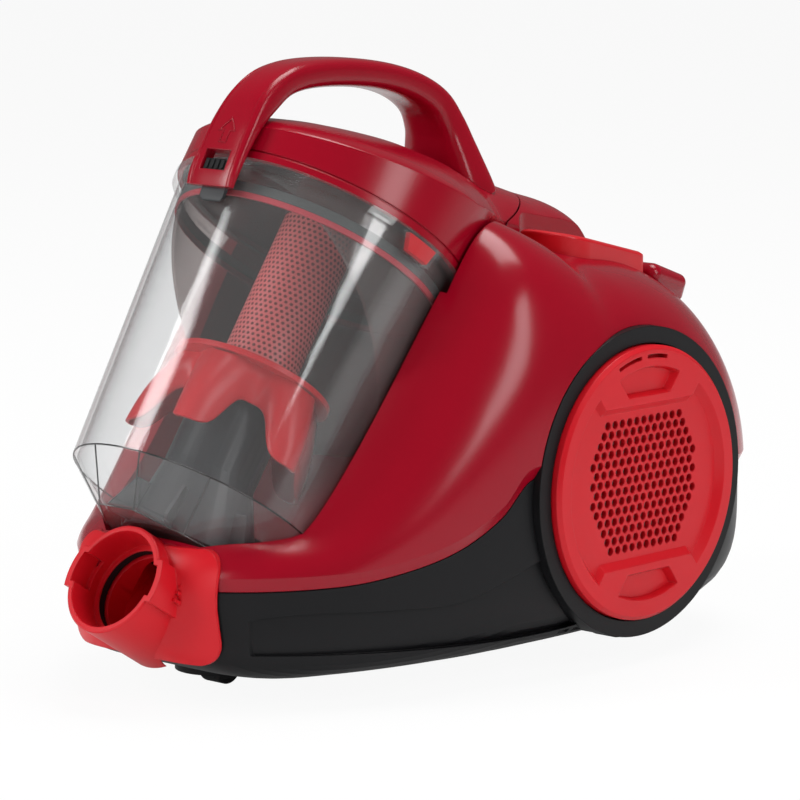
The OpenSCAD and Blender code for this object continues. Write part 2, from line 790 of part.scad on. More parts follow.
module reel_drum() color(grey) {
    translate(reel_c) rotate([0, 90, 0]) translate([0, 0, -reel_w / 2]) difference() {
        union() {
            cylinder(r = reel_r, h = 2.5, $fn = fine);
            translate([0, 0, reel_w - 2.5]) cylinder(r = reel_r, h = 2.5, $fn = fine);
            cylinder(r = 24, h = reel_w, $fn = fine);
        }
        translate([0, 0, -1]) cylinder(r = axle_r + run, h = reel_w + 2, $fn = fine);
        translate([0, 0, 3]) tube(21, 8, reel_w - 16);
    }
}

module rewind_spring() color(steel) {
    translate(reel_c) rotate([0, 90, 0]) translate([0, 0, reel_w / 2 + 0.4]) {
        tube(20, 18, 4);
        tube(16, 14, 4);
        tube(12, axle_r + 1, 4);
        translate([11, -1, 0]) cube([8, 2, 4]);
    }
}

// Lever with a pad that presses on the drum's flange.
module reel_brake() color(bright_red) {
    translate([-reel_w / 2 - 5 + touch, reel_c[1] - 8, reel_c[2] + 34]) cube([4.5, 16, shelf_z - reel_c[2] - 34 - touch]);
}

module cord_bush() color(black) {
    translate([0, bush_y - 4, bush_z]) rotate([-90, 0, 0]) difference() {
        union() {
            cylinder(r = 9, h = 18, $fn = fine);
            translate([0, 0, 17 + touch]) cylinder(r = 12, h = 3, $fn = fine);
        }
        translate([0, 0, -1]) cylinder(r = 5, h = 20, $fn = fine);
    }
}

// ---------- wheels ----------

module rear_wheel(side) color(black) {
    translate([side * wheel_x, wheel_y, wheel_r]) rotate([0, 90, 0]) difference() {
        union() {
            cylinder(r = wheel_r, h = wheel_w - 4, center = true, $fn = fine);
            cylinder(r = wheel_r - 2, h = wheel_w, center = true, $fn = fine);
        }
        cylinder(r = axle_r + run, h = wheel_w + 2, center = true, $fn = fine);
    }
}

module rear_axles() color(steel) {
    for (side = [-1, 1]) translate([side * wheel_x, wheel_y, wheel_r]) rotate([0, 90, 0])
        cylinder(r = axle_r, h = wheel_w + 14, center = true, $fn = fine);
}

module caster_socket() color(grey) {
    translate([0, caster_y, caster_top + 0.6]) difference() {
        cylinder(r = 11, h = 9, $fn = fine);
        translate([0, 0, -1]) cylinder(r = 3 + run, h = 8, $fn = fine);
    }
}

module caster_fork() color(black) {
    translate([0, caster_y, 0]) difference() {
        union() {
            translate([0, 0, caster_top - 5]) cylinder(r1 = 17, r2 = 16, h = 5, $fn = fine);
            translate([0, 0, caster_top - 1]) cylinder(r = 3, h = 7, $fn = fine);
            translate([-11, -8, caster_r - 5]) cube([22, 20.8, caster_top - caster_r + 3]);
        }
        translate([-6.5, -20, -1]) cube([13, 44, caster_top - 1]);
        translate([0, caster_trail, caster_r]) rotate([0, 90, 0]) cylinder(r = 1.5, h = 60, center = true, $fn = fine);
    }
}

module caster_wheel() color(black) {
    translate([0, caster_y + caster_trail, caster_r]) rotate([0, 90, 0]) difference() {
        cylinder(r = caster_r, h = 12, center = true, $fn = fine);
        cylinder(r = 1.5 + run, h = 14, center = true, $fn = fine);
    }
}

module caster_axle() color(steel) {
    translate([0, caster_y + caster_trail, caster_r]) rotate([0, 90, 0])
        cylinder(r = 1.5, h = 20, center = true, $fn = fine);
}

module base_screws() color(steel) {
    for (at = screw_at) translate(at) {
        cylinder(r = 3.5, h = 2, $fn = 24);
        cylinder(r = 1.6, h = post_h + 8, $fn = 24);
    }
}

// ---------- dust container ----------

// Plan of the hopper's floor, in the container's own axes.
module hopper_floor(inset) {
    translate([0, 0, inset]) linear_extrude(0.1) offset(delta = -inset)
        polygon([[-12, -49], [12, -49], [28, -26], [44, 8], [46, 30], [34, 50],
            [-34, 50], [-46, 30], [-44, 8], [-28, -26]]);
}

module hopper_solid(inset) {
    hull() {
        hopper_floor(inset);
        translate([0, 0, hopper_h]) cylinder(r = bin_low_r - inset, h = 0.1, $fn = 60);
    }
}

module bin_shell() color(clear) {
    on_axis() difference() {
        union() {
            hopper_solid(0);
            translate([0, 0, hopper_h]) cylinder(r1 = bin_low_r, r2 = bin_top_r, h = bin_h - hopper_h, $fn = 96);
            translate([0, 0, bin_h - 5]) cylinder(r = bead_r, h = 5, $fn = 96);
            translate([0, port_y, 0]) cylinder(r = port_r + 5, h = 4, $fn = fine);
        }
        hopper_solid(bin_t);
        translate([0, 0, hopper_h])
            cylinder(r1 = bin_low_r - bin_t, r2 = bin_top_r - bin_t, h = bin_h - hopper_h + 0.1, $fn = 96);
        translate([0, port_y, -1]) cylinder(r = port_r, h = 20, $fn = fine);
    }
}

// Cone that carries the incoming air up to the skirt.
module intake_funnel() color("#3a3c3e") {
    on_axis(bin_t + 0.3) difference() {
        union() {
            hull() {
                translate([0, funnel_y, 0]) cylinder(r = funnel_low_r, h = 0.1, $fn = 32);
                translate([0, 0, 40]) cylinder(r = funnel_top_r, h = 0.1, $fn = 32);
            }
            translate([0, 0, 40]) cylinder(r = funnel_top_r, h = funnel_h - 40, $fn = fine);
        }
        hull() {
            translate([0, funnel_y, -0.1]) cylinder(r = funnel_low_r - 2, h = 0.1, $fn = 32);
            translate([0, 0, 40]) cylinder(r = funnel_top_r - 2, h = 0.1, $fn = 32);
        }
        translate([0, 0, 39]) cylinder(r = funnel_top_r - 2, h = funnel_h, $fn = fine);
    }
}

module funnel_fins() color(bright_red) {
    on_axis(bin_t + 1) difference() {
        intersection() {
            for (a = fin_angles) rotate([0, 0, a]) translate([20, -1, 0]) cube([40, 2, 46]);
            translate([0, funnel_y / 2, 0]) cylinder(r1 = funnel_low_r + 10, r2 = funnel_top_r + 3, h = 46, $fn = fine);
            translate([0, 0, -bin_t - 1]) hopper_solid(bin_t + 1);
        }
        hull() {
            translate([0, funnel_y, -0.8]) cylinder(r = funnel_low_r + 2 * touch, h = 0.1, $fn = 32);
            translate([0, 0, 39.3]) cylinder(r = funnel_top_r + 2 * touch, h = 0.1, $fn = 32);
        }
        translate([0, 0, 39]) cylinder(r = funnel_top_r + 2 * touch, h = 60, $fn = fine);
    }
}

// ---------- lid unit ----------

// Outer form of the lid and its hood, moved inwards by an inset.
module lid_form(inset) {
    intersection() {
        under_crown(inset);
        union() {
            on_axis(bin_h + touch) cylinder(r = lid_r - inset, h = 120, $fn = 72);
            difference() {
                on_axis(bin_h + 8 + inset) linear_extrude(120) hood_plan(-inset);
                body_solid(-0.6);
            }
        }
    }
}

module lid() color(deep_red) {
    one_mesh() difference() {
        lid_form(0);
        intersection() {
            under_crown(lid_t);
            union() {
                on_axis(bin_h - 20) cylinder(r = lid_r - lid_t, h = 120, $fn = 72);
                on_axis(bin_h + 18) translate([0, 66, 0]) cylinder(r = hood_r + 1.9 - lid_t, h = 120, $fn = 48);
            }
        }
    }
}

// Centre line of the handle: place along Y, height, thickness, width.
handle_line = [
    [-120.5, 253.5, 4, 32], [-117, 261, 6, 33], [-109.5, 272, 8, 32], [-100, 284, 11, 31],
    [-89, 294, 15, 29], [-75, 302.5, 15, grip_w], [-56, 306, 15, grip_w], [-28, 305.5, 15, grip_w],
    [0, 301.5, 15, grip_w], [22, 295, 16, grip_w + 1], [38, 285.5, 18, grip_w + 3],
    [46.5, 273, 20, grip_w + 7], [51, 260, 23, grip_w + 14], [55, 246, 27, grip_w + 22], [58, 236, 30, grip_w + 26]
];

function handle_ring(i, count) =
    let (
        a = handle_line[max(i - 1, 0)],
        b = handle_line[min(i + 1, len(handle_line) - 1)],
        c = handle_line[i],
        d = [b[0] - a[0], b[1] - a[1]] / norm([b[0] - a[0], b[1] - a[1]])
    )
    [for (k = [0 : count - 1])
        let (t = 360 * k / count, u = c[3] / 2 * signed_pow(cos(t), 0.6), v = c[2] / 2 * signed_pow(sin(t), 0.6))
        [u, c[0] - v * d[1], c[1] + v * d[0]]];

module handle() color(deep_red) {
    one_mesh() difference() {
        skin([for (i = [0 : len(handle_line) - 1]) handle_ring(i, 24)]);
        lid_form(-touch);
        on_axis(bin_h - 30) cylinder(r = bead_r + 0.5, h = 31, $fn = 96);
        on_strap(0) translate([-8.5, -20, 1]) cube([17, 40, 11]);
    }
}

// Places children on the strap's outer face; their +Z runs up the strap.
module on_strap(h) {
    translate([0, -114.2, 258]) rotate([-28, 0, 0]) translate([0, 0, h]) children();
}

module lid_latch() color(black) {
    on_strap(0) {
        translate([-7.8, -4.6, 1.4]) cube([15.6, 2.8, 6]);
        for (k = [0 : 3]) translate([-6.2 + 3.6 * k, -5.3, 2]) cube([1.6, 1.4, 4.8]);
    }
}

module lid_gasket() color(grey) {
    on_axis(gasket_s + 3) difference() {
        cylinder(r = bin_r(gasket_s + 3) - bin_t - 0.35, h = 5, $fn = 96);
        translate([0, 0, -1]) cylinder(r = cup_r + touch, h = 8, $fn = 96);
    }
}

module gasket_ring() color("#d8606a") {
    on_axis(gasket_s) difference() {
        cylinder(r = bin_r(gasket_s) - bin_t - 0.35, h = 3 - touch, $fn = 96);
        translate([0, 0, -1]) cylinder(r = cup_r + touch, h = 5, $fn = 96);
    }
}

// Smoky cup whose lower edge is cut on a slant.
module separator_cup() color("#504a4a") {
    low = gasket_s - 75;
    plate_r = lid_r - lid_t - 0.3;
    on_axis() difference() {
        rotate_extrude($fn = 96) polygon([
            [cup_low_r - 2, low], [cup_low_r, low], [cup_r, gasket_s], [cup_r, bin_h + 0.2],
            [plate_r, bin_h + 0.2], [plate_r, bin_h + 4.2], [mesh_r - 3, bin_h + 4.2], [mesh_r - 3, bin_h + 2],
            [cup_r - 2, bin_h + 2], [cup_r - 2, gasket_s]
        ]);
        translate([0, 0, gasket_s - 38]) rotate([-38, 0, 0]) translate([-120, -120, -120]) cube([240, 240, 120]);
    }
}

module mesh_filter() color("#c04050") {
    low = skirt_s + 22;
    top = bin_h + 2 - touch;
    on_axis(low) difference() {
        cylinder(r = mesh_r, h = top - low, $fn = fine);
        translate([0, 0, -1]) cylinder(r = mesh_r - 2, h = top - low + 2, $fn = fine);
        for (k = [0 : 5]) rotate([0, 0, 60 * k]) translate([mesh_r - 6, -5, 14]) cube([10, 10, 46]);
    }
}

module mesh_cap() color(bright_red) {
    on_axis(skirt_s + 18) cylinder(r = mesh_r + 3, h = 4 - touch, $fn = fine);
}

// Wavy skirt that throws the dust outwards: one closed ribbon round the axis.
module dust_skirt() color(bright_red) {
    n = 60;
    rings = [for (k = [0 : n - 1])
        let (
            a = 360 * k / n,
            wave = cos(5 * a),
            r_top = 40 + 6 * wave,
            r_low = 47 + 9 * wave,
            z_top = skirt_s + 17 - 3 * wave,
            z_low = skirt_s - 18 - 7 * wave
        )
        [for (e = [[r_top, z_top], [r_low, z_low], [r_low - 2, z_low], [r_top - 2, z_top]])
            [e[0] * cos(a), e[0] * sin(a), e[1]]]];
    points = [for (ring = rings) each ring];
    faces = [for (k = [0 : n - 1], e = [0 : 3])
        let (a = 4 * k, b = 4 * ((k + 1) % n), f = (e + 1) % 4)
        each [[a + e, b + e, a + f], [a + f, b + e, b + f]]];
    on_axis() one_mesh() {
        polyhedron(points, faces);
        difference() {
            translate([0, 0, skirt_s + 15]) cylinder(r = 42, h = 3 - touch, $fn = 40);
            for (k = [0 : 4]) rotate([0, 0, 72 * k + 36]) translate([28, 0, skirt_s + 10]) cylinder(r = 5, h = 10, $fn = 24);
        }
    }
}

lower_housing();
upper_housing();
neck_block();
rear_grip();
inlet_socket();
inlet_seal();
inlet_duct();
port_seal();
bezel(1);  // bezel_right
bezel(-1);  // bezel_left
filter_cover(1);  // filter_cover_right
filter_cover(-1);  // filter_cover_left
exhaust_filter(1);  // exhaust_filter_right
exhaust_filter(-1);  // exhaust_filter_left
power_pedal();
rewind_pedal();
pedal_springs(1);  // power_springs
pedal_springs(-1);  // rewind_springs
pedal_shelf();
power_switch();
control_board();
motor_case();
motor_stator();
motor_feet();
motor_rotor();
motor_fan();
motor_intake();
motor_filter();
reel_frame();
reel_axle();
reel_drum();
rewind_spring();
reel_brake();
cord_bush();
rear_wheel(1);  // rear_wheel_right
rear_wheel(-1);  // rear_wheel_left
rear_axles();
caster_socket();
caster_fork();
caster_wheel();
caster_axle();
base_screws();
bin_shell();
intake_funnel();
funnel_fins();
lid();
handle();
lid_latch();
lid_gasket();
gasket_ring();
separator_cup();
mesh_filter();
mesh_cap();
dust_skirt();
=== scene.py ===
"""Dresses a bagless canister vacuum cleaner: smooth mouldings, clear container, finishes, light and camera."""
import logging
from dataclasses import dataclass
from enum import Enum
from typing import Sequence

import bmesh
import bpy
import numpy as np
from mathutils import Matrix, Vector


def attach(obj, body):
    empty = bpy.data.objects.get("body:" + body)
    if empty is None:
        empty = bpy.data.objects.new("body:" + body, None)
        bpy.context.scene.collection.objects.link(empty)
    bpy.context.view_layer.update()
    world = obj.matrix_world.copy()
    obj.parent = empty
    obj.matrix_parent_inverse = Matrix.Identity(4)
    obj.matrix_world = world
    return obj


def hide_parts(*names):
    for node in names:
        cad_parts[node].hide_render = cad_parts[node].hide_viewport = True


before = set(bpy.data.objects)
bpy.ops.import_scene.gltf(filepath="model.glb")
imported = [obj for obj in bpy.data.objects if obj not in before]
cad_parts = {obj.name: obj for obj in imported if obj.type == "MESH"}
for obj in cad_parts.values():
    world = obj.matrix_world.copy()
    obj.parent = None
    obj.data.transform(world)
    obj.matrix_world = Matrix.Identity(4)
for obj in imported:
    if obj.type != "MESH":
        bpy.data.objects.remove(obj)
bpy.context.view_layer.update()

Array = np.ndarray
log = logging.getLogger("vacuum")
MM = 0.001  # metres in a millimetre
ASKEW = 0.31, 0.17, 0.94  # a direction that no thread here follows
SIDES = -1, 1  # left and right
SQUARE = np.array([[-1, -1], [1, -1], [1, 1], [-1, 1]])


# ---------- curves ----------

def smooth(table: Sequence[tuple[float, float]], at: Array) -> Array:
    """Cubic curve through (place, value) pairs, with each slope taken from the two neighbours.

    Args:
        table: the pairs, in rising order of place.
        at: places to work the curve out at.
    Returns:
        One value for each place, level beyond both ends.
    """
    t = np.array(table, float)
    grade = np.empty(len(t))
    grade[1:-1] = (t[2:, 1] - t[:-2, 1]) / (t[2:, 0] - t[:-2, 0])
    grade[0] = (t[1, 1] - t[0, 1]) / (t[1, 0] - t[0, 0])
    grade[-1] = (t[-1, 1] - t[-2, 1]) / (t[-1, 0] - t[-2, 0])
    at = np.asarray(at, float)
    i = np.clip(np.searchsorted(t[:, 0], at) - 1, 0, len(t) - 2)
    h = t[i + 1, 0] - t[i, 0]
    u = np.clip((at - t[i, 0]) / h, 0, 1)
    return (t[i, 1] * (1 + 2 * u) * (1 - u) ** 2 + t[i + 1, 1] * u * u * (3 - 2 * u)
            + grade[i] * h * u * (1 - u) ** 2 - grade[i + 1] * h * u * u * (1 - u))


def through(points: Array, count: int) -> Array:
    """Catmull-Rom curve through rows of numbers: each span is the cubic set by its four nearest rows.

    Args:
        points: the rows that the curve passes.
        count: number of rows wanted.
    Returns:
        count rows.
    """
    p = np.vstack([2 * points[0] - points[1], points, 2 * points[-1] - points[-2]])
    t = np.linspace(0, len(points) - 1 - 1e-9, count)
    i = t.astype(int)
    u = (t - i)[:, None]
    a, b, c, d = p[i], p[i + 1], p[i + 2], p[i + 3]
    return 0.5 * (2 * b + (c - a) * u + (2 * a - 5 * b + 4 * c - d) * u ** 2 + (3 * b - a - 3 * c + d) * u ** 3)


def ease(t: Array) -> Array:
    """Rises smoothly from 0 to 1 as t goes from 0 to 1: 3t^2 - 2t^3."""
    t = np.clip(t, 0, 1)
    return t * t * (3 - 2 * t)


def squircle(angle: Array, power: Array) -> tuple[Array, Array]:
    """Point where the ray at an angle meets |x|^n + |y|^n = 1.

    Args:
        angle: angle of the ray.
        power: the power n.
    Returns:
        x and y of the point.
    """
    c, s = np.cos(angle), np.sin(angle)
    r = (np.abs(c) ** power + np.abs(s) ** power) ** (-1 / power)
    return r * c, r * s


# ---------- meshes ----------

class Shading(Enum):
    """How a piece's faces join in the light: the angle, in degrees, up to which an edge is smoothed."""

    FLAT = 0.0
    CRISP = 11.0
    EDGED = 32.0
    ROUND = 60.0


def shade(obj: bpy.types.Object, shading: Shading) -> None:
    """Smooths the shading across edges flatter than the shading's own angle.

    Args:
        obj: the piece.
        shading: how the faces join in the light.
    """
    if shading is Shading.FLAT:
        obj.data.shade_flat()
        return
    obj.data.shade_smooth()
    obj.data.set_sharp_from_angle(angle=np.radians(shading.value))


def make(name: str, points: Array, faces: list, shading: Shading = Shading.EDGED) -> bpy.types.Object:
    """Makes a mesh object from points in millimetres.

    Args:
        name: name of the piece.
        points: N x 3 array of places.
        faces: lists of point numbers.
        shading: how the faces join in the light.
    Returns:
        The object, at the origin.
    """
    mesh = bpy.data.meshes.new(name)
    mesh.from_pydata((np.asarray(points, float) * MM).tolist(), [], faces)
    mesh.validate()
    obj = bpy.data.objects.new(name, mesh)
    bpy.context.scene.collection.objects.link(obj)
    shade(obj, shading)
    return obj


def grid_faces(rows: int, columns: int, wrap_rows: bool, wrap_columns: bool) -> list:
    """Quads of a grid whose rows and columns may close on themselves.

    Args:
        rows: number of rows.
        columns: number of points in a row.
        wrap_rows: whether the last row joins the first.
        wrap_columns: whether a row closes on itself.
    Returns:
        Lists of four point numbers.
    """
    r = np.arange(rows if wrap_rows else rows - 1)
    c = np.arange(columns if wrap_columns else columns - 1)
    a, b = (g.ravel() for g in np.meshgrid(r, c, indexing="ij"))
    a2, b2 = (a + 1) % rows, (b + 1) % columns
    return np.stack([a * columns + b, a * columns + b2, a2 * columns + b2, a2 * columns + b], 1).tolist()


def loft(name: str, rings: Array, shading: Shading = Shading.EDGED) -> bpy.types.Object:
    """Closed skin over an S x N x 3 stack of closed rings, with a flat cap at each end.

    Args:
        name: name of the object.
        rings: S x N x 3 array of places, in millimetres.
        shading: how the faces join in the light.
    Returns:
        The solid.
    """
    s, n, _ = rings.shape
    faces = grid_faces(s, n, False, True)
    faces += [list(range(n - 1, -1, -1)), list(range((s - 1) * n, s * n))]
    obj = make(name, rings.reshape(-1, 3), faces, shading)
    return outward(obj)


def torus_skin(name: str, rings: Array, shading: Shading = Shading.ROUND) -> bpy.types.Object:
    """Closed skin over an S x N x 3 stack of rings whose last joins its first."""
    s, n, _ = rings.shape
    return outward(make(name, rings.reshape(-1, 3), grid_faces(s, n, True, True), shading))


def outward(obj: bpy.types.Object) -> bpy.types.Object:
    """Turns a closed mesh's faces outwards.

    Args:
        obj: the piece.
    Returns:
        The solid.
    """
    bm = bmesh.new()
    bm.from_mesh(obj.data)
    bmesh.ops.recalc_face_normals(bm, faces=bm.faces)
    bm.to_mesh(obj.data)
    bm.free()
    return obj


def hull(name: str, points: Array) -> bpy.types.Object:
    """Convex solid round a cloud of points.

    Args:
        name: name of the object.
        points: the cloud, in millimetres.
    Returns:
        The solid.
    """
    cloud = np.unique(np.round(np.asarray(points, float), 4), axis=0) * MM
    mesh = bpy.data.meshes.new(name)
    mesh.from_pydata(cloud.tolist(), [], [])
    bm = bmesh.new()
    bm.from_mesh(mesh)
    out = bmesh.ops.convex_hull(bm, input=bm.verts)
    inner = [v for v in out["geom_interior"] if isinstance(v, bmesh.types.BMVert)]
    bmesh.ops.delete(bm, geom=inner, context="VERTS")
    bmesh.ops.recalc_face_normals(bm, faces=bm.faces)
    bm.to_mesh(mesh)
    bm.free()
    obj = bpy.data.objects.new(name, mesh)
    bpy.context.scene.collection.objects.link(obj)
    return obj


class Cut(Enum):
    """Ways of joining two solids."""

    AWAY = "DIFFERENCE"
    SHARED = "INTERSECT"
    BOTH = "UNION"


def carve(obj: bpy.types.Object, tool: bpy.types.Object, cut: Cut) -> bpy.types.Object:
    """Works one solid on another and drops the tool.

    Args:
        obj: the solid that is changed.
        tool: the solid that it is worked with.
        cut: the way in which the two are joined.
    Returns:
        The changed solid.
    """
    mod = obj.modifiers.new("carve", "BOOLEAN")
    mod.object, mod.operation, mod.solver = tool, cut.value, "MANIFOLD"
    bpy.context.view_layer.update()
    done = bpy.data.meshes.new_from_object(obj.evaluated_get(bpy.context.evaluated_depsgraph_get()))
    if not len(done.polygons):
        log.warning("carving %s with %s left nothing", obj.name, tool.name)
    obj.modifiers.clear()
    obj.data = done
    drop(tool)
    return obj


def cut_away(obj: bpy.types.Object, *tools: bpy.types.Object) -> bpy.types.Object:
    """Takes several solids away from one, in order.

    Args:
        obj: the solid that is changed.
        tools: the solids that are taken away.
    Returns:
        The solid.
    """
    for tool in tools:
        carve(obj, tool, Cut.AWAY)
    return obj


def drop(obj: bpy.types.Object) -> None:
    """Removes a scratch solid."""
    bpy.data.objects.remove(obj)


def joined(a: bpy.types.Object, b: bpy.types.Object) -> bpy.types.Object:
    """Adds b's mesh to a's as a separate shell, and drops b.

    Args:
        a: the mesh that is kept.
        b: the mesh that is added.
    Returns:
        The solid.
    """
    bm = bmesh.new()
    bm.from_mesh(a.data)
    bm.from_mesh(b.data)
    bm.to_mesh(a.data)
    bm.free()
    drop(b)
    return a


def tube_along(name: str, path: Array, radius: float, sides: int = 8) -> bpy.types.Object:
    """Round thread along a path, with its section square to the path at each point.

    Args:
        name: name of the piece.
        path: N x 3 array of places, in millimetres.
        radius: radius of the thread.
        sides: points round a section.
    Returns:
        The thread, closed at both ends.
    """
    way = np.gradient(path, axis=0)
    way /= np.linalg.norm(way, axis=1, keepdims=True)
    side = np.cross(way, np.array(ASKEW))
    side /= np.linalg.norm(side, axis=1, keepdims=True)
    up = np.cross(side, way)
    a = np.arange(sides) * 2 * np.pi / sides
    rings = (path[:, None] + radius * (np.cos(a)[None, :, None] * side[:, None]
                                       + np.sin(a)[None, :, None] * up[:, None]))
    return loft(name, rings, Shading.ROUND)


def copy_of(obj: bpy.types.Object, name: str) -> bpy.types.Object:
    """Copy of a solid under another name.

    Args:
        obj: the solid to copy.
        name: name of the object.
    Returns:
        The solid.
    """
    twin = bpy.data.objects.new(name, obj.data.copy())
    bpy.context.scene.collection.objects.link(twin)
    return twin


# ---------- places ----------

@dataclass(frozen=True)
class Axis:
    """A tilted axis: local X stays across the machine, local Z runs along the axis."""

    origin: tuple[float, float, float]
    turn: float

    def world(self, p: Array) -> Array:
        """Turns local points about X and moves them to the axis's origin.

        Args:
            p: places, with x, y and z last.
        Returns:
            Places in the machine.
        """
        p = np.asarray(p, float)
        c, s = np.cos(np.radians(self.turn)), np.sin(np.radians(self.turn))
        y = p[..., 1] * c - p[..., 2] * s
        z = p[..., 1] * s + p[..., 2] * c
        return np.stack([p[..., 0], y, z], -1) + np.array(self.origin)

    def local(self, p: Array) -> Array:
        """Turns places back into the axis's own frame.

        Args:
            p: places, with x, y and z last.
        Returns:
            Places in the axis's own frame.
        """
        q = np.asarray(p, float) - np.array(self.origin)
        c, s = np.cos(np.radians(self.turn)), np.sin(np.radians(self.turn))
        return np.stack([q[..., 0], q[..., 1] * c + q[..., 2] * s, -q[..., 1] * s + q[..., 2] * c], -1)


BIN = Axis((0, -147, 72), -35)
INLET = Axis((0, -190, 64.7), -122)


def circle(radius: float, z: float, count: int = 96, x: float = 0, y: float = 0) -> Array:
    """Points of a level circle."""
    a = np.arange(count) * 2 * np.pi / count
    return np.stack([x + radius * np.cos(a), y + radius * np.sin(a), np.full(count, float(z))], 1)


def rod(name: str, axis: Axis, radius: float, low: float, high: float, count: int = 96,
        y: float = 0, top_radius: float | None = None) -> bpy.types.Object:
    """Closed round bar or cone along an axis.

    Args:
        name: name of the solid.
        axis: the axis it lies along.
        radius: radius at its low end.
        low, high: where it starts and ends along the axis.
        count: points round it.
        y: how far its middle is from the axis.
        top_radius: radius at its high end, if that differs.
    Returns:
        The solid.
    """
    top = radius if top_radius is None else top_radius
    return loft(name, axis.world(np.stack([circle(radius, low, count, 0, y), circle(top, high, count, 0, y)])))


def block(name: str, axis: Axis, xs: tuple, ys: tuple, zs: tuple) -> bpy.types.Object:
    """Box between two places each way in an axis's own frame."""
    corners = np.array([[x, y, z] for x in xs for y in ys for z in zs], float)
    return hull(name, axis.world(corners))


@dataclass
class BodyForm:
    """The body's outer form: a superellipse at each place along Y, rounder above than below."""

    half_width: float = 130
    front: float = -180
    rear: float = 205
    widest: float = 60
    top: tuple = ((-180, 60), (-176, 72), (-166, 82), (-150, 88), (-125, 93), (-108, 106), (-84, 134), (-62, 164),
                  (-40, 196), (-17, 226), (-3, 235.5), (12, 235.5), (33, 226), (50, 215), (72, 210), (110, 205),
                  (150, 197), (170, 191), (181, 180), (191, 160), (199, 130), (203.5, 106), (205, 91))
    bottom: tuple = ((-180, 44), (-176, 30), (-166, 19), (-150, 11), (-125, 8), (100, 8), (140, 12),
                     (165, 21), (183, 37), (195, 56), (203.5, 76), (205, 84))
    middle: tuple = ((-180, 53), (40, 88), (205, 88))
    square: tuple = ((-180, 2.4), (-100, 3), (0, 3.5), (67, 4), (110, 3.4), (150, 2.5), (175, 2.1), (205, 2))
    seam: tuple = ((-215, 60), (-120, 62), (-86, 67), (-58, 75), (-34, 88), (-12, 106), (150, 90), (220, 90))
    low_power: float = 6
    plan_powers: tuple = (2.2, 3.4)
    ends: tuple = (-179.6, 204.4)
    inner_ends: tuple = (1.5, 1.4)
    crowding: float = 0.45

    def stations(self, count: int = 210, inset: float = 0) -> Array:
        """Places along Y, closer together at both ends, which an inset moves inwards.

        Args:
            count: number of places.
            inset: distance inwards, in millimetres.
        Returns:
            count places.
        """
        t = np.linspace(0, 1, count)
        t = t * (1 - self.crowding) + self.crowding * ease(t)
        first, last = self.ends
        if inset > 0:
            first, last = self.front + self.inner_ends[0] + inset, self.rear - self.inner_ends[1] - inset
        return first + (last - first) * t

    def wide(self, y: Array) -> Array:
        """Half width along Y: a rounded nose and a squarer rear.

        Args:
            y: places along the machine.
        Returns:
            One half width for each place.
        """
        p, q = self.plan_powers
        nose = np.clip((self.widest - y) / (self.widest - self.front), 0, 1) ** p
        tail = np.clip((y - self.widest) / (self.rear - self.widest), 0, 1) ** q
        return self.half_width * np.where(y < self.widest, (1 - nose) ** (1 / p), (1 - tail) ** (1 / q))

    def seam_angle(self, y: Array, above: float, inset: float) -> Array:
        """Section angle at which the skin passes a line above the seam.

        Args:
            y: places along the machine.
            above: distance above the seam, measured square to it.
            inset: distance that the skin is moved inwards.
        Returns:
            One angle for each place, in radians from level.
        """
        slope = smooth(self.seam, y + 0.5) - smooth(self.seam, y - 0.5)
        z = smooth(self.seam, y) + above * np.sqrt(1 + slope ** 2)
        mid = smooth(self.middle, y)
        up, down = smooth(self.top, y) - mid - inset, mid - smooth(self.bottom, y) - inset
        rel = np.clip(np.where(z > mid, (z - mid) / up, (z - mid) / down), -0.985, 0.985)
        n = np.where(rel > 0, smooth(self.square, y), self.low_power)
        return np.arctan2(rel, (1 - np.abs(rel) ** n) ** (1 / n))

    def rings(self, inset: float = 0, half: int = 80, count: int = 210, band: float = 0,
              depth: float = 0) -> Array:
        """Sections of the body moved inwards by an inset.

        Rows of points follow the seam and a line a band's width above it. Between the two, the skin
        slants inwards to a depth at the seam.

        Args:
            inset: distance inwards, in millimetres.
            half: points on each half of a section.
            count: number of sections.
            band: width of the slanting band above the seam.
            depth: depth of the band at the seam.
        Returns:
            count x 2*half x 3 array.
        """
        y = self.stations(count, inset)
        low, high = self.seam_angle(y, 0, inset), self.seam_angle(y, max(band, 4), inset)
        n1, n2 = int(half * 0.4), 4
        n3 = half - n1 - n2
        parts = [-np.pi / 2 + (low + np.pi / 2)[:, None] * np.linspace(0, 1, n1, endpoint=False)[None],
                 low[:, None] + (high - low)[:, None] * np.linspace(0, 1, n2, endpoint=False)[None],
                 high[:, None] + (np.pi / 2 - high)[:, None] * np.linspace(0, 1, n3)[None]]
        a = np.concatenate(parts, 1)
        power = np.where(a > 0, smooth(self.square, y)[:, None], self.low_power)
        cx, cz = squircle(a, power)
        mid = smooth(self.middle, y)[:, None]
        up = smooth(self.top, y)[:, None] - mid - inset
        down = mid - smooth(self.bottom, y)[:, None] - inset
        x = cx * (self.wide(y)[:, None] - inset)
        z = mid + np.where(cz > 0, up, down) * cz
        if depth:
            slant = np.zeros(half)
            slant[n1:n1 + n2 + 1] = np.linspace(1, 0, n2 + 1)
            slant[:n1] = 1
            x = x - depth * slant[None] * np.clip(x / 20, 0, 1)
        right = np.stack([x, np.broadcast_to(y[:, None], x.shape), z], -1)
        left = right[:, ::-1] * np.array([-1, 1, 1])
        return np.concatenate([right, left[:, 1:-1]], 1)

    def skin(self, name: str, inset: float = 0, half: int = 80, count: int = 210, band: float = 0,
             depth: float = 0) -> bpy.types.Object:
        """Closed solid of the body's sections; see rings for the sizes."""
        return loft(name, self.rings(inset, half, count, band, depth))

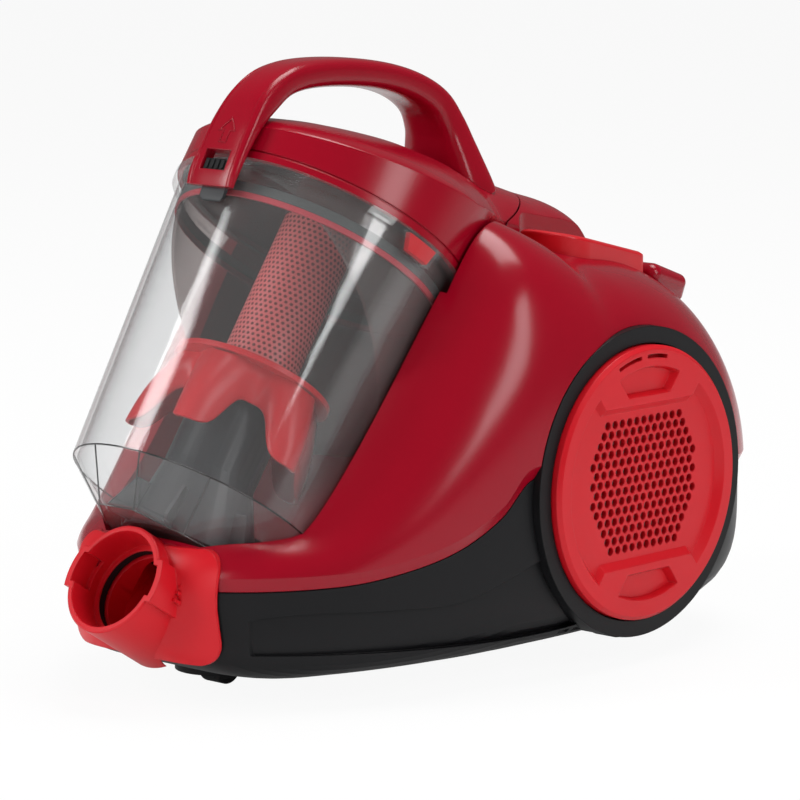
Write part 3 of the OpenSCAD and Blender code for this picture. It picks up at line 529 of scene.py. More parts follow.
    def below_seam(self, drop_by: float) -> bpy.types.Object:
        """Everything below the seam.

        Args:
            drop_by: distance below the seam.
        Returns:
            The solid.
        """
        y = np.concatenate([[-240], self.stations(), [240]])
        z = smooth(self.seam, y) - drop_by
        outline = np.stack([np.concatenate([y, y[::-1]]), np.concatenate([z, np.full(len(y), -30.0)])], 1)
        return loft("below_seam", np.stack([np.column_stack([np.full(len(outline), side * 200.0), outline])
                                            for side in SIDES]))


BODY = BodyForm()


@dataclass
class Channel:
    """Room that the container needs in the body: straight up for its hopper, leaning out for its barrel."""

    gap: float = 1.6
    hopper_height: float = 25
    low_radius: float = 67
    top_radius: float = 77
    height: float = 183.5
    collar: float = 81.8
    lift: float = 120
    reach: float = -260
    floor: tuple = ((-12, -49), (12, -49), (28, -26), (44, 8), (46, 30), (34, 50),
                    (-34, 50), (-46, 30), (-44, 8), (-28, -26))

    overlap: float = 14

    def hopper(self, grow: float) -> Array:
        """Corners of the hopper moved outwards: its many-sided floor and the circle above it.

        Args:
            grow: distance outwards, in millimetres.
        Returns:
            Places in the machine.
        """
        flat = np.array(self.floor, float)
        flat *= 1 + grow / np.linalg.norm(flat, axis=1, keepdims=True)
        low = np.column_stack([flat, np.full(len(flat), -grow)])
        return BIN.world(np.vstack([low, circle(self.low_radius + grow, self.hopper_height, 120)]))

    def solids(self, grow: float) -> list[bpy.types.Object]:
        """The three convex solids that make up the room, moved outwards.

        Args:
            grow: distance outwards, beyond the container's own gap.
        Returns:
            Three scratch objects.
        """
        g = self.gap + grow
        low = self.hopper(g)
        out = [hull("channel_up", np.vstack([low, low + np.array([0, 0, self.lift])]))]
        start = self.hopper_height - g / 2
        rise = self.height - self.hopper_height
        top = self.height - self.overlap - grow
        for a, b, s, h in ((self.low_radius + g, self.top_radius + g, start, rise),
                           (self.collar + grow, self.collar + grow, top, self.lift)):
            ends = [circle(r, z, 160, 0, y) for y in (0, self.reach) for r, z in ((a, s), (b, s + h))]
            out.append(hull("channel_out", BIN.world(np.vstack(ends))))
        return out


CHANNEL = Channel()


def upright(name: str, outline: Array, low: float, high: float) -> bpy.types.Object:
    """Prism standing on an outline of (x, y) points."""
    return loft(name, np.stack([np.column_stack([outline, np.full(len(outline), z)]) for z in (low, high)]))


def across(name: str, radius: float, x0: float, x1: float, y: float, z: float,
           far_radius: float | None = None, count: int = 160) -> bpy.types.Object:
    """Round bar or cone that lies across the machine.

    Args:
        name: name of the solid.
        radius: radius at x0.
        x0, x1: where it starts and ends.
        y, z: the place of its middle.
        far_radius: radius at x1, if that differs.
        count: points round it.
    Returns:
        The solid.
    """
    a = np.arange(count) * 2 * np.pi / count
    far = radius if far_radius is None else far_radius
    rings = [np.column_stack([np.full(count, x), y + r * np.cos(a), z + r * np.sin(a)])
             for x, r in ((x0, radius), (x1, far))]
    return loft(name, np.stack(rings))


# ---------- finishes ----------

class Sock:
    """A shader socket, with operators that add Math nodes."""

    def __init__(self, tree: "Tree", socket: bpy.types.NodeSocket) -> None:
        """Keeps the tree and the socket."""
        self.tree, self.socket = tree, socket

    def math(self, op: str, *values: object) -> "Sock":
        """One Math node."""
        return self.tree.node("ShaderNodeMath", {"operation": op}, dict(enumerate(values)))

    def __add__(self, other: object) -> "Sock":
        """Sum."""
        return self.math("ADD", self, other)

    __radd__ = __add__

    def __mul__(self, other: object) -> "Sock":
        """Product."""
        return self.math("MULTIPLY", self, other)

    __rmul__ = __mul__

    def __sub__(self, other: object) -> "Sock":
        """Difference."""
        return self.math("SUBTRACT", self, other)

    def __rsub__(self, other: object) -> "Sock":
        """Difference, the other way round."""
        return self.math("SUBTRACT", other, self)

    def __pow__(self, other: object) -> "Sock":
        """Power."""
        return self.math("POWER", self, other)

    def over(self, other: object) -> "Sock":
        """1 where this is greater than the other, else 0."""
        return self.math("GREATER_THAN", self, other)

    def top(self, other: object) -> "Sock":
        """The greater of the two."""
        return self.math("MAXIMUM", self, other)

    def wave(self) -> "Sock":
        """Sine."""
        return self.math("SINE", self)

    def floor(self) -> "Sock":
        """Whole part."""
        return self.math("FLOOR", self)

    def fraction(self) -> "Sock":
        """What is left above the whole part."""
        return self.math("FRACT", self)

    def clamp(self) -> "Sock":
        """Held between 0 and 1."""
        return self.tree.node("ShaderNodeClamp", {}, {0: self})


class Tree:
    """A material's node tree."""

    def __init__(self, name: str) -> None:
        """Starts an empty material."""
        self.material = bpy.data.materials.new(name)
        self.material.use_nodes = True
        self.tree = self.material.node_tree
        self.tree.nodes.clear()
        self.out = self.tree.nodes.new("ShaderNodeOutputMaterial")

    def node(self, kind: str, settings: dict | None = None, inputs: dict | None = None,
             output: object = 0) -> Sock:
        """Adds a node.

        Args:
            kind: the node's type.
            settings: attributes set first.
            inputs: socket name or number to a value or a Sock.
            output: name or number of the output wanted.
        Returns:
            That output.
        """
        n = self.tree.nodes.new(kind)
        for key, value in (settings or {}).items():
            setattr(n, key, value)
        for key, value in (inputs or {}).items():
            if isinstance(value, Sock):
                self.tree.links.new(value.socket, n.inputs[key])
            else:
                n.inputs[key].default_value = value
        return Sock(self, n.outputs[output])

    def noise(self, scale: float, detail: float = 2) -> Sock:
        """Noise over the piece, from 0 to 1."""
        where = self.node("ShaderNodeTexCoord", output="Object")
        return self.node("ShaderNodeTexNoise", {}, {"Vector": where, "Scale": scale, "Detail": detail}, "Fac")

    def mix(self, factor: Sock, a: tuple, b: tuple) -> Sock:
        """Colour between a and b."""
        return self.node("ShaderNodeMix", {"data_type": "RGBA"}, {0: factor, 6: a, 7: b}, 2)

    def bump(self, height: Sock, strength: float, distance: float, **more: Sock) -> Sock:
        """Normal that follows a height."""
        inputs = {"Height": height, "Strength": strength, "Distance": distance, **more}
        return self.node("ShaderNodeBump", {}, inputs)

    def surface(self, colour: Sock, rough: Sock, **more: object) -> Sock:
        """Principled shader; an underscore in an input's name stands for a space."""
        inputs = {key.replace("_", " "): value for key, value in more.items()}
        return self.node("ShaderNodeBsdfPrincipled", {}, {"Base Color": colour, "Roughness": rough, **inputs})

    def finish(self, shader: Sock) -> bpy.types.Material:
        """Ends the material with a shader."""
        self.tree.links.new(shader.socket, self.out.inputs["Surface"])
        return self.material


def rgba(c: Sequence[float], gain: float = 1) -> tuple[float, ...]:
    """Colour made lighter or darker, with full alpha."""
    return (*(min(v * gain, 1) for v in c), 1)


@dataclass(frozen=True)
class Moulded:
    """Moulded plastic or rubber: a colour that varies a little, fine grain, and edges that catch the light."""

    name: str
    colour: tuple
    rough: float
    grain: float = 0.2
    grain_scale: float = 900
    vary: float = 0.06
    edge: float = 0.8
    specular: float = 0.5

    def build(self) -> bpy.types.Material:
        """Makes the material.

        Returns:
            The material.
        """
        t = Tree(self.name)
        cloud = t.noise(14, 3)
        fine = t.noise(self.grain_scale, 1)
        colour = t.mix(cloud, rgba(self.colour, 1 - self.vary), rgba(self.colour, 1 + self.vary))
        rough = cloud * (0.12 * self.rough) + self.rough * 0.94
        edges = t.node("ShaderNodeBevel", {"samples": 4}, {"Radius": self.edge * MM})
        normal = t.bump(fine, self.grain, 0.0001, Normal=edges)
        return t.finish(t.surface(colour, rough, Normal=normal, Specular_IOR_Level=self.specular))


@dataclass(frozen=True)
class Clear:
    """Clear plastic: light goes straight through, and a polished face greys at a glancing view.

    Least and most say how much of the polished face shows, from a square view to a glancing one.
    """

    name: str
    tint: tuple
    edge: tuple
    least: float
    most: float
    bend: float = 3
    shine: float = 0.85
    haze: float = 0.0
    haze_colour: tuple = (0.5, 0.5, 0.5)

    def build(self) -> bpy.types.Material:
        """Makes the material.

        Returns:
            The material.
        """
        t = Tree(self.name)
        facing = t.node("ShaderNodeLayerWeight", {}, {"Blend": 0.5}, "Facing")
        cloud = t.noise(20, 1)
        part = facing ** self.bend * (self.most - self.least) + self.least
        colour = t.mix(facing ** 2, rgba((self.shine,) * 3), rgba(self.edge))
        gloss = t.surface(colour, cloud * 0.04 + 0.06, Metallic=1.0)
        through_it = t.node("ShaderNodeBsdfTransparent", {}, {"Color": rgba(self.tint)})
        if self.haze:
            milk = t.node("ShaderNodeBsdfDiffuse", {}, {"Color": rgba(self.haze_colour)})
            through_it = t.node("ShaderNodeMixShader", {}, {0: self.haze, 1: through_it, 2: milk})
        return t.finish(t.node("ShaderNodeMixShader", {}, {0: part.clamp(), 1: through_it, 2: gloss}))


@dataclass(frozen=True)
class Brushed:
    """Turned or drawn metal with fine lines along one way."""

    name: str
    colour: tuple
    rough: float = 0.3
    lines: tuple = (1500, 60, 60)

    def build(self) -> bpy.types.Material:
        """Makes the material.

        Returns:
            The material.
        """
        t = Tree(self.name)
        where = t.node("ShaderNodeTexCoord", output="Object")
        placed = t.node("ShaderNodeMapping", {}, {"Vector": where, "Scale": self.lines})
        fine = t.node("ShaderNodeTexNoise", {}, {"Vector": placed, "Scale": 1.0, "Detail": 2}, "Fac")
        colour = t.mix(fine, rgba(self.colour, 0.85), rgba(self.colour, 1.1))
        normal = t.bump(fine, 0.1, 0.0001)
        return t.finish(t.surface(colour, fine * 0.15 + self.rough, Metallic=1.0, Normal=normal))


@dataclass(frozen=True)
class Fibre:
    """Filter paper or foam: matt, with pleats or pores, and painted shade in their low parts."""

    name: str
    colour: tuple
    pitch: float
    pleated: bool

    def build(self) -> bpy.types.Material:
        """Makes the material.

        Returns:
            The material.
        """
        t = Tree(self.name)
        if self.pleated:
            where = t.node("ShaderNodeTexCoord", output="Object")
            apart = t.node("ShaderNodeSeparateXYZ", {}, {0: where}, "Y")
            height = (apart * (2 * np.pi / self.pitch)).wave() * 0.5 + 0.5
        else:
            height = t.noise(1 / self.pitch, 4)
        # Darker where the height is low: painted shade in the pleat valleys and the pores.
        colour = t.mix(height, rgba(self.colour, 0.6), rgba(self.colour, 1.05))
        normal = t.bump(height, 0.8, 0.001)
        return t.finish(t.surface(colour, height * 0.1 + 0.85, Normal=normal))


@dataclass(frozen=True)
class Perforated:
    """Red sleeve with rows of small round holes painted dark as painted shade, each row half a pitch from the
    next, counted by its UV map.
    """

    name: str
    colour: tuple
    hole: float = 0.3

    def build(self) -> bpy.types.Material:
        """Makes the material.

        Returns:
            The material.
        """
        t = Tree(self.name)
        uv = t.node("ShaderNodeUVMap")
        u, v = (t.node("ShaderNodeSeparateXYZ", {}, {0: uv}, way) for way in "XY")
        shift = (v.floor() * 0.5).fraction()
        du = (u + shift).fraction() - 0.5
        dv = v.fraction() - 0.5
        in_hole = 1 - (du * du + dv * dv).over(self.hole ** 2)
        # The holes are painted dark: painted shade inside the sleeve, seen through them.
        colour = t.mix(in_hole, rgba(self.colour), rgba(self.colour, 0.25))
        normal = t.bump(1 - in_hole, 0.5, 0.0006)
        return t.finish(t.surface(colour, in_hole * 0.3 + 0.4, Normal=normal))


@dataclass(frozen=True)
class Board:
    """Printed circuit board: green with pale copper runs."""

    name: str
    colour: tuple

    def build(self) -> bpy.types.Material:
        """Makes the material.

        Returns:
            The material.
        """
        t = Tree(self.name)
        where = t.node("ShaderNodeTexCoord", output="Object")
        runs = t.node("ShaderNodeTexBrick", {}, {"Vector": where, "Scale": 220.0, "Mortar Size": 0.05}, "Fac")
        colour = t.mix(runs, rgba(self.colour), rgba(self.colour, 2.6))
        return t.finish(t.surface(colour, runs * -0.2 + 0.5))


FINISHES = {
    "deep_red": Moulded("deep_red_gloss", (0.3, 0.001, 0.012), 0.2, 0.05, 600, specular=0.3),
    "bright_red": Moulded("bright_red_satin", (0.6, 0.007, 0.015), 0.32, 0.12, specular=0.28),
    "black_plastic": Moulded("black_satin", (0.008, 0.008, 0.009), 0.4, 0.25, 1100, specular=0.18),
    "clear_plastic": Clear("clear_bin", (0.975, 0.978, 0.98), (0.12, 0.125, 0.13), 0.04, 0.7, 4.5,
                           haze=0.035, haze_colour=(0.8, 0.8, 0.8)),
    "smoke_plastic": Clear("smoky_cup", (0.8, 0.74, 0.73), (0.06, 0.055, 0.055), 0.1, 0.7, 2.6,
                           shine=0.3, haze=0.2, haze_colour=(0.26, 0.21, 0.2)),
    "dark_plastic": Moulded("dark_moulded", (0.025, 0.027, 0.03), 0.35, specular=0.3),
    "grey_rubber": Moulded("grey_seal", (0.09, 0.095, 0.095), 0.55, 0.4, 700, edge=0.3, specular=0.2),
    "pink_rubber": Moulded("pink_seal", (0.5, 0.05, 0.07), 0.5, 0.3, 700, edge=0.3, specular=0.2),
    "black_rubber": Moulded("black_rubber_matt", (0.012, 0.012, 0.013), 0.62, 0.6, 500, edge=0.5, specular=0.2),
    "grey_plastic": Moulded("grey_moulded", (0.2, 0.21, 0.21), 0.4),
    "steel": Brushed("drawn_steel", (0.58, 0.59, 0.6)),
    "copper": Brushed("wound_copper", (0.6, 0.26, 0.11), 0.35, (2600, 20, 20)),
    "aluminium": Brushed("turned_aluminium", (0.7, 0.71, 0.72), 0.28),
    "filter_paper": Fibre("pleated_paper", (0.2, 0.18, 0.17), 0.004, True),
    "filter_foam": Fibre("open_foam", (0.08, 0.2, 0.4), 0.0012, False),
    "circuit": Board("circuit_board", (0.02, 0.12, 0.06)),
}
SLEEVE_RED = Perforated("perforated_red", (0.75, 0.14, 0.14))
# Dark, nearly opaque finish for the lines along the hopper's edges: painted shade where the clear walls meet.
CREASE_SHADE = Clear("crease_shade", (0.12, 0.12, 0.13), (0.02, 0.02, 0.02), 0.35, 0.9, 1.5, shine=0.2)


class Workshop:
    """Holds the finishes and hands out finished pieces."""

    def __init__(self) -> None:
        """Builds every finish once."""
        self.made = {name: finish.build() for name, finish in FINISHES.items()}

    def dress_node(self, name: str, slot: str) -> None:
        """Gives a node its finish, and joins its loose faces so that round ones shade smoothly.

        Args:
            name: the node's name.
            slot: its material slot.
        """
        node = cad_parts[name]
        if not node.material_slots:
            node.data.materials.append(None)
        for s in node.material_slots:
            s.material = self.made[slot]
        node.data.shade_smooth()
        weld = node.modifiers.new("joined", "WELD")
        weld.merge_threshold = 0.002 * MM
        split = node.modifiers.new("edges", "EDGE_SPLIT")
        split.split_angle = np.radians(Shading.EDGED.value)
        node.modifiers.new("even", "WEIGHTED_NORMAL").mode = "FACE_AREA"

    def refinish(self, name: str, finish: str) -> None:
        """Changes the look of a node and leaves its slot as it is."""
        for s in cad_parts[name].material_slots:
            s.material = self.made[finish]

    def piece(self, obj: bpy.types.Object, body: str, slot: str, replaces: Sequence[str] = (),
              shading: Shading = Shading.EDGED) -> bpy.types.Object:
        """Dresses a new piece and fixes it to its body.

        Args:
            obj: the piece.
            body: the body that carries it.
            slot: its material slot.
            replaces: nodes that it stands for.
            shading: how its faces join in the light.
        Returns:
            The piece.
        """
        obj.data.materials.clear()
        obj.data.materials.append(self.made[slot])
        obj.data.polygons.foreach_set("material_index", np.zeros(len(obj.data.polygons), np.int32))
        shade(obj, shading)
        if shading is not Shading.FLAT:
            even = obj.modifiers.new("even", "WEIGHTED_NORMAL")
            even.mode, even.keep_sharp = "FACE_AREA", True
        if replaces:
            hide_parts(*replaces)
        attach(obj, body)
        log.info("%s: %d faces on %s", obj.name, len(obj.data.polygons), body)
        return obj


# ---------- sub-assemblies ----------

TOUCH = 0.05  # millimetres between two pieces that meet


@dataclass
class Housings:
    """The two body shells.

    A span is from and to. The spigot, the duct, the boss and the seats give their radius first, and the port,
    the intake and the cord hole their place. A wheel is x, y, radius and width, with a gap across and along.
    """

    shell: float = 3
    lower_inset: float = 4
    seam_gap: float = 0.4
    band: float = 7
    band_depth: float = 4.2
    cover_centre: tuple = (67, 94.3)
    bezel_radius: float = 81.05
    bezel_span: tuple = (84, 144)
    arch: tuple = (80.2, 88.4)
    arch_span: tuple = (124.4, 132)
    intake: tuple = (64, 15.05)
    over_deck: tuple = (150, 270)
    spigot: tuple = (27.4, -6, 23.1)
    duct: tuple = (24.1, 22, 36)
    bend_end: tuple = (25.1, -12)
    port: tuple = (16, 25.7)
    port_span: tuple = (-20, 10)
    wheel: tuple = (76, 104, 19, 16)
    wheel_gap: tuple = (2, 3)
    caster_y: float = -119
    caster_boss: tuple = (20.6, 8.4, 36.6)
    caster_seats: tuple = ((17.6, 24.6), (11.05, 34.6))
    cord_hole: tuple = (64, 12.1)
    cord_span: tuple = (180, 240)
    panel: tuple = ((-162, 29), (-158, 44), (-138, 49), (-95, 48), (-58, 48), (-28, 57), (3, 66), (12, 58),
                    (27, 25))
    panel_depth: float = 2.4
    slots: tuple = ((15, 23), (26, 34))
    slot_rise: tuple = (19, 22.5)
    slot_depth: float = 2.2

    def inlet_room(self) -> list[bpy.types.Object]:
        """Room that the hose spigot and the duct take.

        Returns:
            Four scratch solids.
        """
        radius, _, end = self.duct
        start = INLET.world(circle(radius, end, 64))
        finish = BIN.world(circle(*self.bend_end, 64, 0, self.port[0]))
        return [rod("spigot_room", INLET, *self.spigot),
                rod("duct_room", INLET, *self.duct),
                hull("bend_room", np.vstack([start, finish])),
                rod("port_room", BIN, self.port[1], *self.port_span, y=self.port[0])]

    def shared_cuts(self, obj: bpy.types.Object, channel_grow: float) -> None:
        """Cuts that both shells have: the channel, the round cover openings and the inlet.

        Args:
            obj: the shell.
            channel_grow: distance by which the channel is moved outwards.
        """
        cut_away(obj, *CHANNEL.solids(channel_grow))
        near, far = self.bezel_span
        for side in SIDES:
            cut_away(obj, across("cover_hole", self.bezel_radius, side * near, side * far, *self.cover_centre))
        cut_away(obj, *self.inlet_room())

    def upper(self) -> bpy.types.Object:
        """Upper shell with its bevelled lower edge and the bevel round each arch.

        Returns:
            The solid.
        """
        bevel = self.band, self.band_depth
        obj = BODY.skin("upper_housing_skin", 0, 80, 210, *bevel)
        cut_away(obj, BODY.skin("upper_room", self.shell, 40, 90, *bevel), BODY.below_seam(0))
        inner = BODY.skin("channel_wall", self.shell / 2, 40, 110, *bevel)
        walls = None
        for tool in CHANNEL.solids(self.shell):
            part = carve(copy_of(inner, "wall_part"), tool, Cut.SHARED)
            walls = part if walls is None else carve(walls, part, Cut.BOTH)
        drop(inner)
        carve(obj, walls, Cut.BOTH)
        self.shared_cuts(obj, 0)
        (near, far), (radius, far_radius) = self.arch_span, self.arch
        for side in SIDES:
            bevelled = across("arch_bevel", radius, side * near, side * far, *self.cover_centre, far_radius)
            cut_away(obj, bevelled, PEDAL.room(side))
        y, radius = self.intake
        return cut_away(obj, upright("intake_room", circle(radius, 0, 64, 0, y)[:, :2], *self.over_deck))

    def well(self, side: int, grow: float = 0) -> Array:
        """Plan of the room round a rear wheel: a rectangle with a gap on every side.

        Args:
            side: 1 for the right half, -1 for the left.
            grow: distance by which it is widened.
        Returns:
            Four corners, as (x, y).
        """
        x, y, radius, width = self.wheel
        across_gap, along_gap = self.wheel_gap
        size = np.array([width / 2 + across_gap + grow, radius + along_gap + grow])
        return SQUARE * size + np.array([side * x, y])

    def lower(self) -> bpy.types.Object:
        """Lower shell with its wheel wells, caster seat, recessed side panels and vent slots.

        Returns:
            The solid.
        """
        obj = carve(BODY.skin("lower_housing_skin", self.lower_inset), BODY.below_seam(self.seam_gap), Cut.SHARED)
        room = BODY.skin("lower_room", self.lower_inset + self.shell, 40, 90)
        x, y, radius, width = self.wheel
        across_gap, along_gap = self.wheel_gap
        for side in SIDES:
            cut_away(room, upright("well", self.well(side, self.shell), 0, 2 * (radius + along_gap)))
        cut_away(obj, room)
        boss, low, high = self.caster_boss
        carve(obj, upright("caster_boss", circle(boss, 0, 64, 0, self.caster_y)[:, :2], low, high), Cut.BOTH)
        self.shared_cuts(obj, self.shell + TOUCH)
        half = width / 2 + across_gap
        for side in SIDES:
            cut_away(obj, across("wheel_room", radius + along_gap, side * x - half, side * x + half, y, radius),
                     upright("wheel_slot", self.well(side), -5, radius))
            self.side_panel(obj, side)
        for seat, top in self.caster_seats:
            cut_away(obj, upright("caster_room", circle(seat, 0, 64, 0, self.caster_y)[:, :2], -1, top))
        height, hole = self.cord_hole
        return cut_away(obj, rod("cord_hole", Axis((0, 0, height), -90), hole, *self.cord_span))

    def sink(self, obj: bpy.types.Object, side: int, outline: Array, near: float, depth: float) -> None:
        """Sinks an outline of (y, z) points into the shell's side.

        Args:
            obj: the shell.
            side: 1 for the right half, -1 for the left.
            outline: the outline.
            near: where the cutter starts, from the machine's middle.
            depth: depth of the recess.
        """
        ends = [np.column_stack([np.full(len(outline), side * x), outline]) for x in (near, 140)]
        tool = loft("sunk_room", np.stack(ends))
        cut_away(obj, cut_away(tool, BODY.skin("sunk_floor", self.lower_inset + depth)))

    def side_panel(self, obj: bpy.types.Object, side: int) -> None:
        """Sinks the side panel into the shell, and two slots below it.

        Args:
            obj: the shell.
            side: 1 for the right half, -1 for the left.
        """
        corners = through(np.array(self.panel + (self.panel[0],), float), 120)[:-1]
        self.sink(obj, side, corners, 60, self.panel_depth)
        low, high = self.slot_rise
        for a, b in self.slots:
            self.sink(obj, side, np.array([[a, low], [b, low], [b, high], [a, high]], float), 112, self.slot_depth)

    def build(self, shop: Workshop) -> None:
        """Builds and dresses both shells."""
        shop.piece(self.upper(), "base", "deep_red", ["upper_housing"], Shading.CRISP)
        shop.piece(self.lower(), "base", "black_plastic", ["lower_housing"], Shading.CRISP)


@dataclass
class Pedals:
    """Power pedal and cord rewind pedal.

    Rounds are x, y and radius, with x from the pedal's middle. The dish is y, radius and depth, and the finger
    is half its width, both its ends along Y and its foot.
    """

    x: float = 49
    front: tuple = (4, 85, 20)
    rear: tuple = ((-12, 141, 8), (6, 141, 8))
    gap: float = 0.8
    top: float = 211
    at: float = 105
    slope: float = 13
    thick: float = 15
    plate_thick: float = 4
    wall: float = 3
    chamfer: tuple = (2.6, 1.5)
    dish: tuple = (108, 13, 1.2)
    dish_flare: float = 3.4
    leg: tuple = (4, 171)
    leg_places: tuple = (84, 132)
    finger: tuple = (3, 106, 112, 178.55)
    mark_radius: float = 6.4
    thread: tuple = (0.75, 0.6, 0.1)
    opening: float = 0.75
    bar: tuple = (2.2, 9)

    def outline(self, side: int, grow: float) -> Array:
        """Plan of a pedal: the hull of a large front round and two small rear rounds.

        Args:
            side: 1 for the right half, -1 for the left.
            grow: distance outwards, in millimetres.
        Returns:
            Points as (x, y), counterclockwise.
        """
        rounds = [circle(r + grow, 0, 120, x, y)[:, :2] for x, y, r in (self.front, *self.rear)]
        cloud = np.vstack(rounds)
        a = np.linspace(0, 2 * np.pi, 180, endpoint=False)
        ways = np.stack([np.cos(a), np.sin(a)], 1)
        best = np.argmax(cloud @ ways.T, axis=0)
        keep = np.concatenate([[True], best[1:] != best[:-1]])
        ring = cloud[best[keep]] * np.array([side, 1]) + np.array([side * self.x, 0])
        return ring if side > 0 else ring[::-1]

    def room(self, side: int) -> bpy.types.Object:
        """Room round a pedal, right through the deck."""
        return upright("pedal_room", self.outline(side, self.gap), 150, 270)

    def height(self, y: Array) -> Array:
        """Height of the sloping top along Y."""
        return self.top - (y - self.at) * np.tan(np.radians(self.slope))

    def on_top(self, side: int, y: float, sink: float = 0) -> Axis:
        """Axis that stands square on the sloping top."""
        return Axis((side * self.x, y, float(self.height(np.array(y))) - sink), -self.slope)

    def plate(self, side: int) -> bpy.types.Object:
        """One pedal: a hollow cap with a chamfered edge and a shallow round dish in its top.

        Args:
            side: 1 for the right half, -1 for the left.
        Returns:
            The solid.
        """
        wide, deep = self.chamfer
        steps = (0, self.thick), (0, deep + 0.5), (-0.25, deep * 0.75), (-wide * 0.8, 0.15), (-wide, 0)
        rings = [(self.outline(side, grow), sink) for grow, sink in steps]
        count = min(len(ring) for ring, _ in rings)
        stack = []
        for ring, sink in rings:
            pick = np.round(np.linspace(0, len(ring), count, endpoint=False)).astype(int)
            stack.append(np.column_stack([ring[pick], self.height(ring[pick, 1]) - sink]))
        obj = loft("power_pedal_cap" if side > 0 else "rewind_pedal_cap", np.stack(stack))
        under = self.outline(side, -self.wall)
        z = self.height(under[:, 1])
        depths = self.thick + self.plate_thick, self.plate_thick
        hollow = loft("hollow", np.stack([np.column_stack([under, z - d]) for d in depths]))
        y, r, d = self.dish
        dish = rod("dish", self.on_top(side, y), r, -d, 6, top_radius=r + self.dish_flare)
        return cut_away(obj, hollow, dish)

    def legs(self, side: int) -> bpy.types.Object:
        """The pedal's two round legs and the finger that presses the switch.

        Args:
            side: 1 for the right half, -1 for the left.
        Returns:
            The solid.
        """
        out = None
        radius, foot = self.leg
        for y in self.leg_places:
            ring = circle(radius, 0, 32, side * self.x, y)[:, :2]
            leg = upright("pedal_leg", ring, foot, float(self.height(np.array(y))) - self.wall)
            out = leg if out is None else carve(out, leg, Cut.BOTH)
        half, near, far, low = self.finger
        middle = np.array([side * self.x, (near + far) / 2])
        plan = middle + SQUARE * np.array([half, (far - near) / 2])
        high = float(self.height(middle[1])) - self.wall
        return carve(out, upright("finger", plan, low, high), Cut.BOTH)

    def mark(self, side: int) -> bpy.types.Object:
        """Raised mark in the dish: an open ring with a bar for power, a closed ring for the cord.

        Args:
            side: 1 for the right half, -1 for the left.
        Returns:
            The solid.
        """
        y, _, d = self.dish
        tilt = self.on_top(side, y, d)
        gap = self.opening if side > 0 else 0.0
        a = np.linspace(np.pi / 2 + gap, np.pi / 2 + 2 * np.pi - gap, 72, endpoint=side > 0)
        t = np.arange(10) * 2 * np.pi / 10
        wide, high, lift = self.thread
        r = self.mark_radius + wide * np.cos(t)[None]
        z = lift + high * np.sin(t)
        rings = np.stack([r * np.cos(a)[:, None], r * np.sin(a)[:, None], np.broadcast_to(z, (len(a), 10))], -1)
        if side < 0:
            return torus_skin("cord_mark", tilt.world(rings))
        obj = loft("power_mark", tilt.world(rings), Shading.ROUND)
        bar = np.stack([np.column_stack([wide * np.cos(t), np.full(10, v), z]) for v in self.bar])
        return carve(obj, loft("bar", tilt.world(bar)), Cut.BOTH)

    def build(self, shop: Workshop) -> None:
        """Builds and dresses both pedals.

        Args:
            shop: the workshop that dresses the pieces.
        """
        for side, node in ((1, "power_pedal"), (-1, "rewind_pedal")):
            cap = carve(self.plate(side), self.legs(side), Cut.BOTH)
            shop.piece(cap, f"{node}_body", "bright_red", [node], Shading.CRISP)
            shop.piece(self.mark(side), f"{node}_body", "bright_red", shading=Shading.ROUND)


PEDAL = Pedals()


